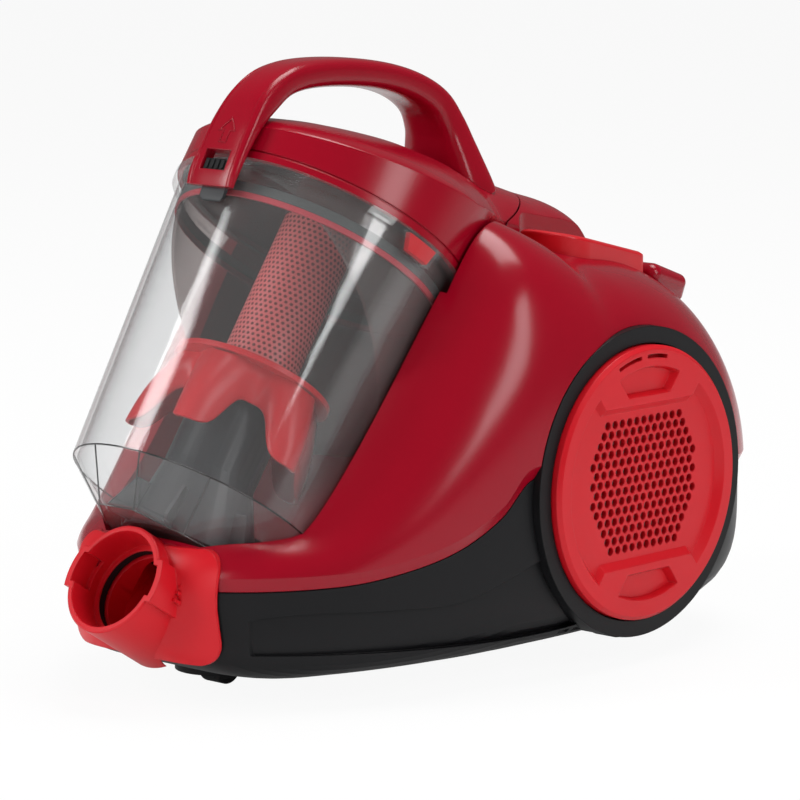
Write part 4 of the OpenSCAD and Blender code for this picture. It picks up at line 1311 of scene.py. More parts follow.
@dataclass
class Crown:
    """Form of the lid's crown, carried on over the hood and the block behind it.

    Ridge, edge and half width are tables along Y. In front of the join the edge lies in the lid's sloping plane.
    """

    ridge: tuple = ((-96.8, 282.4), (-88, 285), (-66, 283), (-48, 279.7), (-30.7, 276), (-12.7, 271.6),
                    (5.5, 265.9), (24, 260.2), (41, 254), (64, 246), (98, 235), (127, 226), (134, 218), (142, 204))
    edge: tuple = ((-8, 241.2), (20, 232.5), (40, 227.5), (56, 224), (98, 213), (127, 206), (142, 196))
    wide: tuple = ((-8, 77.9), (20, 65.5), (40, 50), (56, 40.5), (98, 40), (142, 40))
    front: float = -96.8
    join: float = -8
    tail: float = 142
    lid_middle: tuple = (-23.4, 248.3)
    lid_fall: float = 0.463
    lid_reach: float = 73.5
    flank: tuple = (110.0, 120.0)
    power: float = 0.85
    lid_radius: float = 79.6
    lid_low: float = 183.55
    above: float = 305
    groove: tuple = (187.4, 188.3)
    groove_depth: float = 0.6
    hood_radius: float = 41.9
    hood_y: float = 66
    hood_corner: tuple = (53, 57)
    hood_low: float = 191.55
    hood_slip: float = 0.8
    hollow_low: tuple = (163, 201.5)
    wall: float = 3
    neck: tuple = (40, 50, 142)
    grip: tuple = ((56, 160, 188, 6), (54, 184, 181, 5), (50, 188, 174, 4), (52, 162, 178, 4))

    def under(self, inset: float = 0, half: int = 64, count: int = 150) -> bpy.types.Object:
        """Everything under the crown.

        A section has its edge at one height, and rises to the ridge as (1 - x^2)^0.85.

        Args:
            inset: distance inwards, in millimetres.
            half: points on half a section.
            count: number of sections.
        Returns:
            A scratch solid.
        """
        y = np.concatenate([[-150, self.front], np.linspace(self.front + 0.4, self.join - 0.01, count // 2),
                            np.linspace(self.join + 0.01, self.tail, count // 2)])
        front = y <= self.join
        middle, height = self.lid_middle
        plane = height - self.lid_fall * (y - middle)
        low = np.where(front, plane, smooth(self.edge, y)) - inset
        top = np.where(y > self.front + 0.1, smooth(self.ridge, y), plane) - inset
        round_w = (self.lid_radius + 0.1) * np.sqrt(np.maximum(0, 1 - ((y - middle) / self.lid_reach) ** 2))
        w = np.maximum(np.where(front, round_w, smooth(self.wide, y)), 0.5)
        x = np.cos(np.linspace(0, np.pi, 2 * half + 1))
        z = low[:, None] + np.maximum(top - low, 0)[:, None] * (1 - x[None] ** 2).clip(0) ** self.power
        arc = np.stack([w[:, None] * x[None], np.broadcast_to(y[:, None], z.shape), z], -1)
        wide, foot = self.flank
        right, left = ([np.stack([np.full(len(y), side * wide), y, h], -1)[:, None]
                        for h in (np.full(len(y), foot), low)] for side in (1, -1))
        return loft("under_crown", np.concatenate([*right, arc, *left[::-1]], 1))

    def hood(self, inset: float, low: float, high: float) -> bpy.types.Object:
        """Prism of the hood: a round rear and two small corners at the sides.

        Args:
            inset: distance inwards, in millimetres.
            low: lower end along the container.
            high: upper end along the container.
        Returns:
            The solid.
        """
        x, y = self.hood_corner
        cloud = [circle(self.hood_radius - inset, z, 160, 0, self.hood_y) for z in (low, high)]
        cloud += [circle(1, z, 16, side * (x - inset), y) for z in (low, high) for side in SIDES]
        return hull("hood", BIN.world(np.vstack(cloud)))

    def form(self, inset: float) -> bpy.types.Object:
        """Outer form of the lid and its hood.

        Args:
            inset: distance inwards, in millimetres.
        Returns:
            The solid.
        """
        round_part = rod("lid_round", BIN, self.lid_radius - inset, self.lid_low, self.above, 200)
        lid = carve(self.under(inset), round_part, Cut.SHARED)
        hood = carve(self.under(inset), self.hood(inset, self.hood_low + inset, 312), Cut.SHARED)
        cut_away(hood, BODY.skin("body_form", -0.6, 60, 160))
        return carve(lid, hood, Cut.BOTH)

    def lid(self) -> bpy.types.Object:
        """The lid: the form with its hollow taken out, and a thin line near its lower edge.

        Returns:
            The solid.
        """
        obj = self.form(0)
        obj.name = "lid_moulding"
        low, rear_low = self.hollow_low
        room = rod("room", BIN, self.lid_radius - self.wall, low, self.above)
        rear_room = rod("hood_room", BIN, self.hood_radius - self.wall, rear_low, self.above, y=self.hood_y)
        hollow = carve(self.under(self.wall, 32, 80), room, Cut.SHARED)
        rear = carve(self.under(self.wall, 32, 80), rear_room, Cut.SHARED)
        cut_away(obj, carve(hollow, rear, Cut.BOTH))
        low, high = self.groove
        line = rod("rim_line", BIN, self.lid_radius + 2, low, high, 200)
        cut_away(line, rod("rim_core", BIN, self.lid_radius - self.groove_depth, low - 1, high + 1, 200))
        return cut_away(obj, line)

    def off_body(self, obj: bpy.types.Object) -> bpy.types.Object:
        """Takes the body and the room round both pedals out of a piece that stands on the deck."""
        return cut_away(obj, BODY.skin("body_form", -TOUCH, 60, 160), *(PEDAL.room(side) for side in SIDES))

    def neck_block(self) -> bpy.types.Object:
        """The block behind the hood, which carries the crown's line down to the deck.

        Returns:
            The solid.
        """
        obj = self.under()
        obj.name = "neck_moulding"
        half, near, far = self.neck
        plan = np.array([[-half, near], [half, near], [half, far], [-half, far]], float)
        carve(obj, upright("neck_box", plan, 150, 270), Cut.SHARED)
        cut_away(obj, self.hood(-self.hood_slip, 120, 340),
                 rod("barrel_path", BIN, CHANNEL.collar, 0, 300, 160))
        return self.off_body(obj)

    def rear_grip(self) -> bpy.types.Object:
        """Raised grip across the rear of the deck: the hull of four pairs of balls.

        Returns:
            The solid.
        """
        cloud = []
        a, b = np.meshgrid(np.arange(48) * 2 * np.pi / 48, np.linspace(-np.pi / 2, np.pi / 2, 25))
        ball = np.stack([np.cos(a) * np.cos(b), np.sin(a) * np.cos(b), np.sin(b)], -1).reshape(-1, 3)
        for x, y, z, r in self.grip:
            cloud += [ball * r + np.array([side * x, y, z]) for side in SIDES]
        return self.off_body(hull("rear_grip_moulding", np.vstack(cloud)))

    def build(self, shop: Workshop) -> None:
        """Builds and dresses the lid, the neck block and the rear grip.

        Args:
            shop: the workshop that dresses the pieces.
        """
        shop.piece(self.lid(), "lid_unit", "deep_red", ["lid"])
        shop.piece(self.neck_block(), "base", "deep_red", ["neck_block"])
        shop.piece(self.rear_grip(), "base", "deep_red", ["rear_grip"])


CROWN = Crown()
STRAP = Axis((0, -114.2, 258), -28)


@dataclass
class Handle:
    """Carry handle: a flat strap up the front of the lid that turns into a round grip.

    Each row of the line is y, z, thickness and width. The arrow is half of its outline, in (x, z) on the strap.
    """

    line: tuple = ((-120.5, 253.5, 4, 32), (-117, 261, 6, 33), (-109.5, 272, 8, 32), (-100, 284, 11, 31),
                   (-89, 294, 15, 29), (-75, 302.3, 15, 28), (-56, 305.6, 15, 28), (-28, 305.1, 15, 28),
                   (0, 301.5, 15, 28), (22, 295, 16, 29), (38, 285.5, 18, 31), (46.5, 273, 20, 35),
                   (51, 260, 23, 42), (55, 246, 27, 50), (58, 236, 30, 54))
    corner: float = 0.6
    rim: float = 3.2
    sunk: float = 0.8
    sunk_end: float = 0.42
    arrow_outer: tuple = ((2.6, 16), (2.6, 22.5), (6, 22.5), (0, 30))
    arrow_inner: tuple = ((1.7, 16.9), (1.7, 23.4), (4.1, 23.4), (0, 28.5))
    arrow_lift: tuple = (1.4, -0.45)
    face: tuple = (-6.651, 0.077)
    window: tuple = (8.5, 1, 12)
    collar: tuple = (80.7, 153.5, 184.5)

    def sweep(self) -> bpy.types.Object:
        """Skin of rounded sections along the handle's line, with its outer face sunk between two rims.

        Returns:
            The solid.
        """
        c = through(np.array(self.line, float), 190)
        d = np.gradient(c[:, :2], axis=0)
        d /= np.linalg.norm(d, axis=1, keepdims=True)
        t = np.arange(96) * 2 * np.pi / 96
        u = c[:, 3:4] / 2 * (np.sign(np.cos(t)) * np.abs(np.cos(t)) ** self.corner)[None]
        v = c[:, 2:3] / 2 * (np.sign(np.sin(t)) * np.abs(np.sin(t)) ** self.corner)[None]
        along = np.linspace(0, 1, len(c))[:, None]
        fade = ease((self.sunk_end - along) / 0.1)
        flat = ease((c[:, 3:4] / 2 - self.rim - np.abs(u)) / 1.0)
        v = np.where(v > 0, v - self.sunk * flat * fade, v)
        return loft("handle_moulding", np.stack([u, c[:, 0:1] - v * d[:, 1:2], c[:, 1:2] + v * d[:, 0:1]], -1))

    def arrow(self) -> bpy.types.Object:
        """Outlined arrow raised on the strap, pointing up from the latch.

        Returns:
            The solid.
        """
        outer, inner = (np.array(half + tuple((-x, z) for x, z in half[2::-1]), float)
                        for half in (self.arrow_outer, self.arrow_inner))
        sunk, proud = self.arrow_lift
        rows = []
        for ring, lift in ((outer, sunk), (outer, proud), (inner, proud), (inner, sunk)):
            face = self.face[0] + self.face[1] * ring[:, 1]
            rows.append(np.column_stack([ring[:, 0], face + lift, ring[:, 1]]))
        return torus_skin("strap_arrow", STRAP.world(np.stack(rows)), Shading.FLAT)

    def build(self, shop: Workshop) -> None:
        """Builds and dresses the handle and its arrow.

        Args:
            shop: the workshop that dresses the pieces.
        """
        half, low, high = self.window
        obj = cut_away(self.sweep(), CROWN.form(0), rod("collar_room", BIN, *self.collar),
                       block("latch_room", STRAP, (-half, half), (-20, 20), (low, high)))
        shop.piece(obj, "lid_unit", "deep_red", ["handle"])
        shop.piece(self.arrow(), "lid_unit", "deep_red", shading=Shading.FLAT)


@dataclass
class Inlet:
    """Hose socket with its saddle plate on the nose.

    The plate is width, height, corner radius and the height of its middle. The cheek, the notch and the rib's
    span are a range across the tube and one along it.
    """

    plate: tuple = (104, 57, 14, 52)
    plate_span: tuple = (-158.0, -248.0)
    waist: tuple = (0.05, 0.9, 0.03)
    proud: float = 2.6
    radius: float = 28.8
    length: float = 46
    bore: float = 25.3
    spigot_wall: float = 1.9
    depth: float = 22
    ledge: float = 4.9
    seal_room: float = 0.65
    duct_bore: tuple = (22.4, 24.1)
    cheek: tuple = ((-14, 8), (0, 30))
    notch: tuple = ((-11, 5), (-1, 12))
    notch_depth: float = 2.8
    hopper_room: tuple = ((-160, 100), (-2.1, 98))
    rib_span: tuple = ((30.4, 33.2), (13, 24))
    rib: tuple = (-8, 4, 1.8)

    def saddle(self) -> bpy.types.Object:
        """Rounded plate with a slight waist that follows the nose, a little proud of it.

        Returns:
            The solid.
        """
        w, h, r, z = self.plate
        a = np.arange(160) * 2 * np.pi / 160
        corner = np.stack([np.sign(np.cos(a)) * (w / 2 - r), np.sign(np.sin(a)) * (h / 2 - r)], 1)
        ring = corner + r * np.stack([np.cos(a), np.sin(a)], 1) + np.array([0, z])
        level = (ring[:, 1] - z) / (h / 2)
        bend, rest, lean = self.waist
        ring[:, 0] *= 1 + bend * (level ** 2 - rest) - lean * level
        ends = [np.column_stack([ring[:, 0], np.full(160, y), ring[:, 1]]) for y in self.plate_span]
        obj = carve(loft("saddle", np.stack(ends)), BODY.skin("outer", -self.proud, 90, 300), Cut.SHARED)
        return cut_away(obj, BODY.skin("nose", -TOUCH, 80, 260), *CHANNEL.solids(1.5))

    def boxed(self, name: str, radius: float, box: tuple) -> bpy.types.Object:
        """Part of a bar on the tube's axis that lies within a box."""
        bar = rod(name, INLET, radius, *box[1], 160)
        return carve(bar, block("box", INLET, (-50, 50), *box), Cut.SHARED)

    def tube(self) -> bpy.types.Object:
        """The tilted tube with a rolled rim, side cheeks for the catch, and a stepped bore.

        Returns:
            The solid.
        """
        obj = rod("hose_socket_moulding", INLET, self.radius, 0.8, self.length, 160)
        carve(obj, rod("rim", INLET, self.radius - 0.9, 0, 0.9, 160, top_radius=self.radius), Cut.BOTH)
        carve(obj, self.boxed("cheek", self.radius + 2.6, self.cheek), Cut.BOTH)
        cut_away(obj, BODY.skin("nose", -TOUCH, 80, 260),
                 block("over_floor", BIN, (-60, 60), *self.hopper_room))
        spigot = rod("spigot", INLET, self.bore + self.spigot_wall, 0, self.depth, 160)
        carve(obj, cut_away(spigot, block("over_floor", BIN, (-60, 60), *self.hopper_room)), Cut.BOTH)
        carve(obj, self.saddle(), Cut.BOTH)
        step = self.depth - self.ledge
        bores = (("bore", self.bore, -1, step, None),
                 ("seal_room", self.bore + self.seal_room, step + 0.8, self.depth + 1, None),
                 ("lead_in", self.bore + 1.0, -1, 1.2, self.bore),
                 ("duct_way", self.duct_bore[0], -1, self.depth + 2, None),
                 ("behind", self.duct_bore[1], self.depth + 0.95, 82, None))
        for name, radius, low, high, top in bores:
            cut_away(obj, rod(name, INLET, radius, low, high, 160, top_radius=top))
        return cut_away(obj, self.boxed("notch", self.bore + self.notch_depth, self.notch))

    def build(self, shop: Workshop) -> None:
        """Builds and dresses the socket, and the three ribs behind its notch.

        Args:
            shop: the workshop that dresses the pieces.
        """
        shop.piece(self.tube(), "base", "bright_red", ["inlet_socket"])
        first, pitch, width = self.rib
        out, along = self.rib_span
        for k in range(3):
            y = first + pitch * k
            shop.piece(block(f"catch_rib_{k + 1}", INLET, out, (y, y + width), along), "base", "bright_red")


@dataclass
class Container:
    """What belongs to the clear container and its separator. Heights are along the container's axis."""

    skirt_s: float = 81
    skirt_edges: tuple = (16, 2, -15, 13)
    skirt_radii: tuple = (37, 4, 40, 11)
    belly: float = 2.2
    lobes: int = 5
    skirt_wall: float = 2
    skirt_plate: tuple = (42, 15, 17.9)
    plate_hole: tuple = (5, 28)
    mesh_radius: float = 20
    mesh_wall: float = 2
    mesh_span: tuple = (103, 185.4)
    mesh_holes: tuple = (42, 2.7)
    crease: float = 0.42
    crease_inset: float = 0.45
    hook_width: tuple = (-7.5, 9)
    hook_profile: tuple = ((78.2, 166), (80.4, 166), (79.6, 160), (77.9, 160))
    hook_tip: tuple = ((-5, 6.5), 78.2, 157.5)
    lug_angle: float = -6
    lug_taper: float = 0.72

    def skirt(self) -> bpy.types.Object:
        """Wavy skirt: a closed ribbon whose radius swings with the cosine of its lobes.

        Its lower edge swings with the cosine's tanh, which gives round tongues. Two radii and two edges each
        have a mean and a swing, and the ribbon bellies out between them as a half sine.

        Returns:
            The ribbon, joined to its plate.
        """
        a = np.linspace(0, 2 * np.pi, 300, endpoint=False)[:, None]
        wave = np.cos(self.lobes * a)
        t = np.linspace(0, 1, 14)[None]
        rise, rise_swing, fall, fall_swing = self.skirt_edges
        top = self.skirt_s + rise - rise_swing * wave
        low = self.skirt_s + fall - fall_swing * np.tanh(2 * wave)
        r0, swing0, r1, swing1 = self.skirt_radii
        r = (r0 + swing0 * wave) * (1 - t) + (r1 + swing1 * wave) * t + self.belly * np.sin(np.pi * t)
        z = top + (low - top) * t
        outer, inner = (np.stack([(r - w) * np.cos(a), (r - w) * np.sin(a), z], -1) for w in (0, self.skirt_wall))
        obj = torus_skin("dust_skirt_ribbon", BIN.world(np.concatenate([outer, inner[:, ::-1]], 1)))
        radius, under, over = self.skirt_plate
        plate = rod("skirt_plate", BIN, radius, self.skirt_s + under, self.skirt_s + over)
        hole, far = self.plate_hole
        for b in np.radians(np.arange(self.lobes) * 72 + 36):
            x, y = far * np.cos(b), far * np.sin(b)
            ends = [circle(hole, self.skirt_s + s, 32, x, y) for s in (10, 22)]
            cut_away(plate, loft("skirt_hole", BIN.world(np.stack(ends))))
        return carve(obj, plate, Cut.BOTH)

    def lug(self, name: str, near: float, far: float, half: float, low: float, high: float) -> bpy.types.Object:
        """Flat trapezoid bent round the container's side, wider at its top.

        Args:
            name: name of the object.
            near: inner distance from the container's axis.
            far: outer distance from the container's axis.
            half: half its width at the top.
            low: its lower edge.
            high: its upper edge.
        Returns:
            The solid.
        """
        points = []
        for r in (near, far):
            for z, w in ((low, half * self.lug_taper), (high, half)):
                a = np.radians(self.lug_angle) + np.linspace(-w, w, 16) / r
                points.append(np.column_stack([r * np.cos(a), r * np.sin(a), np.full(16, z)]))
        return hull(name, BIN.world(np.vstack(points)))

    def sleeve(self) -> bpy.types.Object:
        """Perforated tube: a closed sleeve whose UV map counts its rows of holes.

        Returns:
            The solid.
        """
        low, high = self.mesh_span
        a = np.arange(120) * 2 * np.pi / 120
        inner = self.mesh_radius - self.mesh_wall
        profile = (self.mesh_radius, low), (self.mesh_radius, high), (inner, high), (inner, low)
        rings = np.stack([np.stack([r * np.cos(a), r * np.sin(a), np.full(120, z)], -1) for r, z in profile])
        obj = torus_skin("perforated_sleeve", BIN.world(rings), Shading.EDGED)
        mesh = obj.data
        places = np.empty(len(mesh.vertices) * 3)
        mesh.vertices.foreach_get("co", places)
        local = BIN.local(places.reshape(-1, 3) / MM)
        corner = np.empty(len(mesh.loops), np.int32)
        mesh.loops.foreach_get("vertex_index", corner)
        first = np.empty(len(mesh.polygons), np.int32)
        mesh.polygons.foreach_get("loop_start", first)
        around = np.arctan2(local[corner, 1], local[corner, 0]) / (2 * np.pi)
        around -= np.round(around - np.repeat(around[first], 4))
        count, pitch = self.mesh_holes
        uv = mesh.uv_layers.new(name="holes")
        uv.data.foreach_set("uv", np.column_stack([around * count, (local[corner, 2] - low) / pitch]).ravel())
        return obj

    def crease_shade_lines(self) -> bpy.types.Object:
        """Painted shade: thin dark rounded lines along the hopper's edges, where its flat walls meet.

        Returns:
            The solid.
        """
        floor = np.column_stack([np.array(CHANNEL.floor, float), np.full(len(CHANNEL.floor), 0.3)])
        way = np.arctan2(floor[:, 1], floor[:, 0])
        r, s = CHANNEL.low_radius, CHANNEL.hopper_height
        rim = np.column_stack([r * np.cos(way), r * np.sin(way), np.full(len(way), s)])
        lines = [np.vstack([floor, floor[:1]]), circle(r, s, 121)[np.r_[0:121, 0]]]
        lines += [np.stack([a, b]) for a, b in zip(floor, rim)]
        out = None
        for line in lines:
            inwards = 1 - self.crease_inset / np.linalg.norm(line[:, :2], axis=1, keepdims=True)
            line = np.column_stack([line[:, :2] * inwards, line[:, 2]])
            part = tube_along("hopper_crease_shade_lines", BIN.world(line), self.crease)
            out = part if out is None else joined(out, part)
        return out

    def hook(self) -> bpy.types.Object:
        """Catch on the container, just under the strap's end; its dark finish is partly its own grey and partly
        painted shade under the strap.

        Returns:
            The solid.
        """
        cloud = [[x, -r, s] for x in self.hook_width for r, s in self.hook_profile]
        tips, r, s = self.hook_tip
        cloud += [[x, -r, s] for x in tips]
        return hull("bin_hook", BIN.world(np.array(cloud, float)))

    def build(self, shop: Workshop) -> None:
        """Builds and dresses the skirt, the sleeve, the painted shade lines along the hopper's edges, the hook and
        the lug.

        Args:
            shop: the workshop that dresses the pieces.
        """
        shop.piece(self.skirt(), "lid_unit", "bright_red", ["dust_skirt"], Shading.ROUND)
        sleeve = shop.piece(self.sleeve(), "lid_unit", "bright_red", ["mesh_filter"])
        sleeve.data.materials[0] = SLEEVE_RED.build()
        shop.refinish("funnel_fins", "dark_plastic")
        shop.refinish("inlet_duct", "bright_red")
        # Dark lines along the hopper's edges, as painted shade where the clear walls meet.
        edges = shop.piece(self.crease_shade_lines(), "container", "clear_plastic", shading=Shading.ROUND)
        edges.data.materials[0] = CREASE_SHADE.build()
        # The catch is dressed dark: partly painted shade under the strap's end, on a part that is grey and clear.
        shop.piece(self.hook(), "container", "dark_plastic")
        shop.piece(self.lug("lug_frame", 78.0, 81.0, 12.5, 171.0, 182.6), "container", "clear_plastic")
        shop.piece(self.lug("lid_lug", 77.3, 80.6, 10.2, 172.6, 181.2), "container", "bright_red")


@dataclass
class Cover:
    """Round exhaust cover: a chamfered disc with a bevelled grille window between two finger recesses.

    Slices give a radius, a level from the middle and half a width at that level; distances from the machine's
    middle grow outwards.
    """

    centre: tuple = (67, 94.3)
    radius: float = 71.6
    wall: float = 4
    back: float = 110.4
    face: float = 131
    plate: float = 127
    plate_thick: float = 3
    chamfer: float = 2
    window: tuple = (62.5, 59)
    bar: tuple = (64, 42, 35)
    bar_bevel: tuple = (4, 0.5)
    flare: float = 0.8
    arcs: tuple = ((78, 92), (96, 112))
    arc_radii: tuple = (65.2, 67.2)
    arc_span: tuple = (126, 133)
    recess: tuple = (61, 46, 17, 4.4)
    recess_bevel: tuple = (1.2, 1.6, 1.5)
    rows: tuple = (10, 11, 12, 13, 14, 15, 14, 15, 14, 15, 14, 13, 12, 11)
    pitch: float = 5.8
    row_pitch: float = 0.87
    hole: float = 2.2
    hole_span: tuple = (120, 129)

    def at(self, side: int, u: Array, v: Array, x: float) -> Array:
        """Points of the cover's own plane, at a distance from the machine's middle."""
        y, z = self.centre
        return np.column_stack([np.full(len(u), side * x), y + u, z + v])

    def slice(self, radius: float, low: float, high: float, half: float, count: int = 72) -> tuple[Array, Array]:
        """Outline of a disc cut by two levels and by two sides that slant outwards by the flare.

        Args:
            radius: radius of the disc.
            low: lower level, from the middle.
            high: upper level, from the middle.
            half: half the width at the lower level.
            count: points round the outline.
        Returns:
            Two rows of places, across and up.
        """
        arc = circle(radius, 0, 720)[:, :2]
        level = arc[:, 1]
        within = (level >= low) & (level <= high) & (np.abs(arc[:, 0]) <= half + (level - low) * self.flare)
        points = [arc[within]]
        for cut in (low, high):
            if abs(cut) < radius:
                reach = min(np.sqrt(radius ** 2 - cut ** 2), half + (cut - low) * self.flare)
                points.append(np.array([[-reach, cut], [reach, cut]]))
        points = np.vstack(points)
        mid = points.mean(0)
        ring = points[np.argsort(np.arctan2(points[:, 1] - mid[1], points[:, 0] - mid[0]))]
        ring = np.vstack([ring, ring[:1]])
        run = np.concatenate([[0], np.cumsum(np.linalg.norm(np.diff(ring, axis=0), axis=1))])
        t = np.linspace(0, run[-1], count, endpoint=False)
        return np.interp(t, run, ring[:, 0]), np.interp(t, run, ring[:, 1])

    def between(self, name: str, side: int, flip: int, *outlines: tuple) -> bpy.types.Object:
        """Hull of slices, each at its own distance from the machine's middle, above or below the window.

        Args:
            name: name of the object.
            side: 1 for the right half, -1 for the left.
            flip: 1 above the window, -1 below it.
            outlines: pairs of a slice and its distance from the machine's middle.
        Returns:
            The solid.
        """
        cloud = []
        for outline, x in outlines:
            u, v = self.slice(*outline)
            cloud.append(self.at(side, u, flip * v, x))
        return hull(name, np.vstack(cloud))

    def disc(self, side: int) -> bpy.types.Object:
        """The whole cover.

        Args:
            side: 1 for the right half, -1 for the left.
        Returns:
            The solid.
        """
        shoulder = self.face - self.chamfer
        name = f"exhaust_cover_{'right' if side > 0 else 'left'}"
        obj = across(name, self.radius, side * self.back, side * shoulder, *self.centre, count=200)
        edge = across("edge", self.radius, side * (shoulder - 0.01), side * self.face, *self.centre,
                      self.radius - self.chamfer, 200)
        carve(obj, edge, Cut.BOTH)
        floor = side * (self.plate - self.plate_thick)
        wide, narrow = self.window
        cut_away(obj, across("hollow", self.radius - self.wall, side * (self.back - 1), floor, *self.centre),
                 across("window", wide, side * (self.face + 0.02), side * self.plate, *self.centre, narrow, 200))
        radius, level, half = self.bar
        drop_by, spread = self.bar_bevel
        beyond = 80
        for flip in (1, -1):
            bar = self.between("bar", side, flip, ((radius, level, beyond, half), self.face),
                               ((radius, level - drop_by, beyond, half + spread), self.plate - 0.5))
            carve(obj, bar, Cut.BOTH)
        for first, last in self.arcs:
            a = np.radians(np.linspace(first, last, 24))
            (r0, r1), (x0, x1) = self.arc_radii, self.arc_span
            rings = [self.at(side, r * np.cos(a), r * np.sin(a), x)
                     for r, x in ((r0, x0), (r1, x0), (r1, x1), (r0, x1))]
            cut_away(obj, loft("arc_slot", np.stack(rings, 1)))
        radius, level, half, deep = self.recess
        inner, raised, narrower = self.recess_bevel
        mouth = radius, level, radius + 1, half
        bottom = radius - inner, level + raised, radius + 1, half - narrower
        levels = (mouth, self.face + 1), (mouth, self.face - 0.01), (bottom, self.face - deep)
        for flip in (1, -1):
            cut_away(obj, self.between("finger_recess", side, flip, *levels))
        return cut_away(obj, self.holes(side))

    def holes(self, side: int) -> bpy.types.Object:
        """Field of round holes in rows set half a pitch apart, as one cutter of separate bars.

        Args:
            side: 1 for the right half, -1 for the left.
        Returns:
            The cutter.
        """
        middle = (len(self.rows) - 1) / 2
        spots = [((k - (n - 1) / 2) * self.pitch, (i - middle) * self.pitch * self.row_pitch)
                 for i, n in enumerate(self.rows) for k in range(n)]
        ring = circle(self.hole, 0, 20)[:, :2]
        points = [self.at(side, ring[:, 0] + u, ring[:, 1] + v, x) for u, v in spots for x in self.hole_span]
        start = 40 * np.arange(len(spots))[:, None, None]
        walls = start + np.array(grid_faces(2, 20, False, True))
        ends = start + np.arange(40).reshape(2, 20)
        faces = walls.reshape(-1, 4).tolist() + ends.reshape(-1, 20).tolist()
        return outward(make("grille_holes", np.concatenate(points), faces))

    def build(self, shop: Workshop) -> None:
        """Builds and dresses both covers."""
        for side, name in ((1, "right"), (-1, "left")):
            shop.piece(self.disc(side), f"cover_{name}", "bright_red", [f"filter_cover_{name}"], Shading.CRISP)


NODE_SLOTS = {
    "black_plastic": ["bezel_right", "bezel_left", "inlet_duct", "pedal_shelf", "power_switch", "motor_intake",
                      "reel_frame", "caster_fork", "lid_latch"],
    "bright_red": ["funnel_fins", "mesh_cap", "reel_brake"],
    "clear_plastic": ["bin_shell"],
    "smoke_plastic": ["separator_cup"],
    "dark_plastic": ["intake_funnel"],
    "grey_rubber": ["lid_gasket"],
    "pink_rubber": ["gasket_ring"],
    "black_rubber": ["inlet_seal", "port_seal", "motor_feet", "cord_bush", "rear_wheel_right", "rear_wheel_left",
                     "caster_wheel"],
    "grey_plastic": ["motor_case", "caster_socket", "reel_drum"],
    "steel": ["power_springs", "rewind_springs", "reel_axle", "rewind_spring", "rear_axles", "base_screws",
              "motor_rotor", "caster_axle"],
    "copper": ["motor_stator"],
    "aluminium": ["motor_fan"],
    "filter_paper": ["exhaust_filter_right", "exhaust_filter_left"],
    "filter_foam": ["motor_filter"],
    "circuit": ["control_board"],
}


# ---------- studio ----------

@dataclass(frozen=True)
class Lamp:
    """A rectangular soft light that looks at a point. Places and sizes are in metres."""

    name: str
    at: tuple
    size: tuple
    watts: float
    aim: tuple = (0, 0, 0.13)

    def hang(self) -> None:
        """Adds the lamp."""
        data = bpy.data.lights.new(self.name, "AREA")
        data.shape, data.size, data.size_y, data.energy = "RECTANGLE", *self.size, self.watts
        obj = bpy.data.objects.new(self.name, data)
        obj.location = self.at
        obj.rotation_euler = (Vector(self.aim) - Vector(self.at)).to_track_quat("-Z", "Y").to_euler()
        bpy.context.scene.collection.objects.link(obj)


LAMPS = (
    Lamp("left_window", (-1.3, -2.0, 1.2), (0.7, 1.7), 38),
    Lamp("right_window", (2.6, 0.2, 1.5), (0.8, 1.7), 32),
    Lamp("front_window", (0.7, -2.7, 0.9), (0.35, 1.6), 9),
    Lamp("overhead", (0.1, 0.5, 2.4), (1.5, 1.1), 44),
)


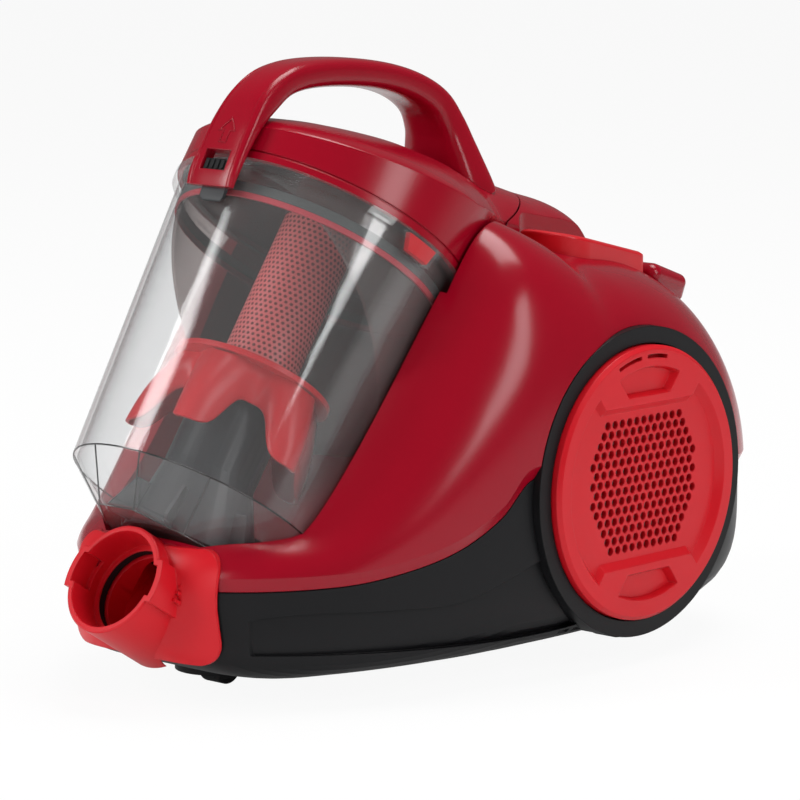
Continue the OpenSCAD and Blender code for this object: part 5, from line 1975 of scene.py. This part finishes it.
@dataclass(frozen=True)
class Studio:
    """Pale floor, white surround, soft lamps and the camera. Places are in millimetres."""

    floor_half: float = 12000
    floor_level: float = -0.6
    floor_grey: float = 0.85
    floor_glow: float = 0.93
    reflected: float = 0.18
    surround_light: float = 0.17
    lens: float = 180
    eye: tuple = (1411.3, -1515.9, 458.9)
    aim: tuple = (0, 19.35, 129.28)

    def seen_directly(self, t: Tree) -> Sock:
        """1 for camera and transmission rays, less for a reflection.

        Args:
            t: the material's tree.
        Returns:
            The share.
        """
        camera, glossy, transmission = (t.node("ShaderNodeLightPath", output=f"Is {kind} Ray")
                                        for kind in ("Camera", "Glossy", "Transmission"))
        return camera.top(glossy * self.reflected).top(transmission)

    def floor(self) -> None:
        """Pale floor that keeps a faint shadow."""
        corners = np.column_stack([SQUARE * self.floor_half, np.full(4, self.floor_level)])
        obj = make("floor", corners, [[0, 1, 2, 3]], Shading.FLAT)
        t = Tree("pale_floor")
        glow = t.node("ShaderNodeEmission", {}, {"Color": (1, 1, 1, 1), "Strength": 1.0})
        matt = t.node("ShaderNodeBsdfDiffuse", {}, {"Color": rgba((self.floor_grey,) * 3)})
        share = self.seen_directly(t) * self.floor_glow
        obj.data.materials.append(t.finish(t.node("ShaderNodeMixShader", {}, {0: share, 1: matt, 2: glow})))

    def surround(self) -> None:
        """White where it is seen, softer as a light."""
        world = bpy.data.worlds.new("white_room")
        bpy.context.scene.world = world
        world.use_nodes = True
        tree = world.node_tree
        tree.nodes.clear()
        out = tree.nodes.new("ShaderNodeOutputWorld")
        sky = tree.nodes.new("ShaderNodeBackground")
        sky.inputs["Color"].default_value = (1, 1, 1, 1)
        path = tree.nodes.new("ShaderNodeLightPath")
        seen = tree.nodes.new("ShaderNodeMath")
        seen.operation = "MAXIMUM"
        tree.links.new(path.outputs["Is Camera Ray"], seen.inputs[0])
        tree.links.new(path.outputs["Is Transmission Ray"], seen.inputs[1])
        level = tree.nodes.new("ShaderNodeMapRange")
        level.inputs["To Min"].default_value = self.surround_light
        level.inputs["To Max"].default_value = 1.0
        tree.links.new(seen.outputs[0], level.inputs["Value"])
        tree.links.new(level.outputs[0], sky.inputs["Strength"])
        tree.links.new(sky.outputs[0], out.inputs["Surface"])

    def camera(self) -> None:
        """Long lens from the front and right, a little above."""
        data = bpy.data.cameras.new("camera")
        data.lens, data.sensor_width, data.clip_end = self.lens, 36, 50
        obj = bpy.data.objects.new("camera", data)
        obj.location = Vector(self.eye) * MM
        obj.rotation_euler = (Vector(self.aim) * MM - obj.location).to_track_quat("-Z", "Y").to_euler()
        bpy.context.scene.collection.objects.link(obj)
        bpy.context.scene.camera = obj

    def build(self) -> None:
        """Sets the studio up."""
        self.floor()
        self.surround()
        for lamp in LAMPS:
            lamp.hang()
        self.camera()
        bpy.context.scene.view_settings.view_transform = "Standard"


def main() -> None:
    """Builds every sub-assembly in order."""
    logging.basicConfig(level=logging.INFO, format="%(message)s")
    Studio().build()
    shop = Workshop()
    for slot, nodes in NODE_SLOTS.items():
        for node in nodes:
            shop.dress_node(node, slot)
    Housings().build(shop)
    CROWN.build(shop)
    Handle().build(shop)
    PEDAL.build(shop)
    Inlet().build(shop)
    Container().build(shop)
    Cover().build(shop)
    bpy.context.view_layer.update()


if __name__ == "__main__":
    main()
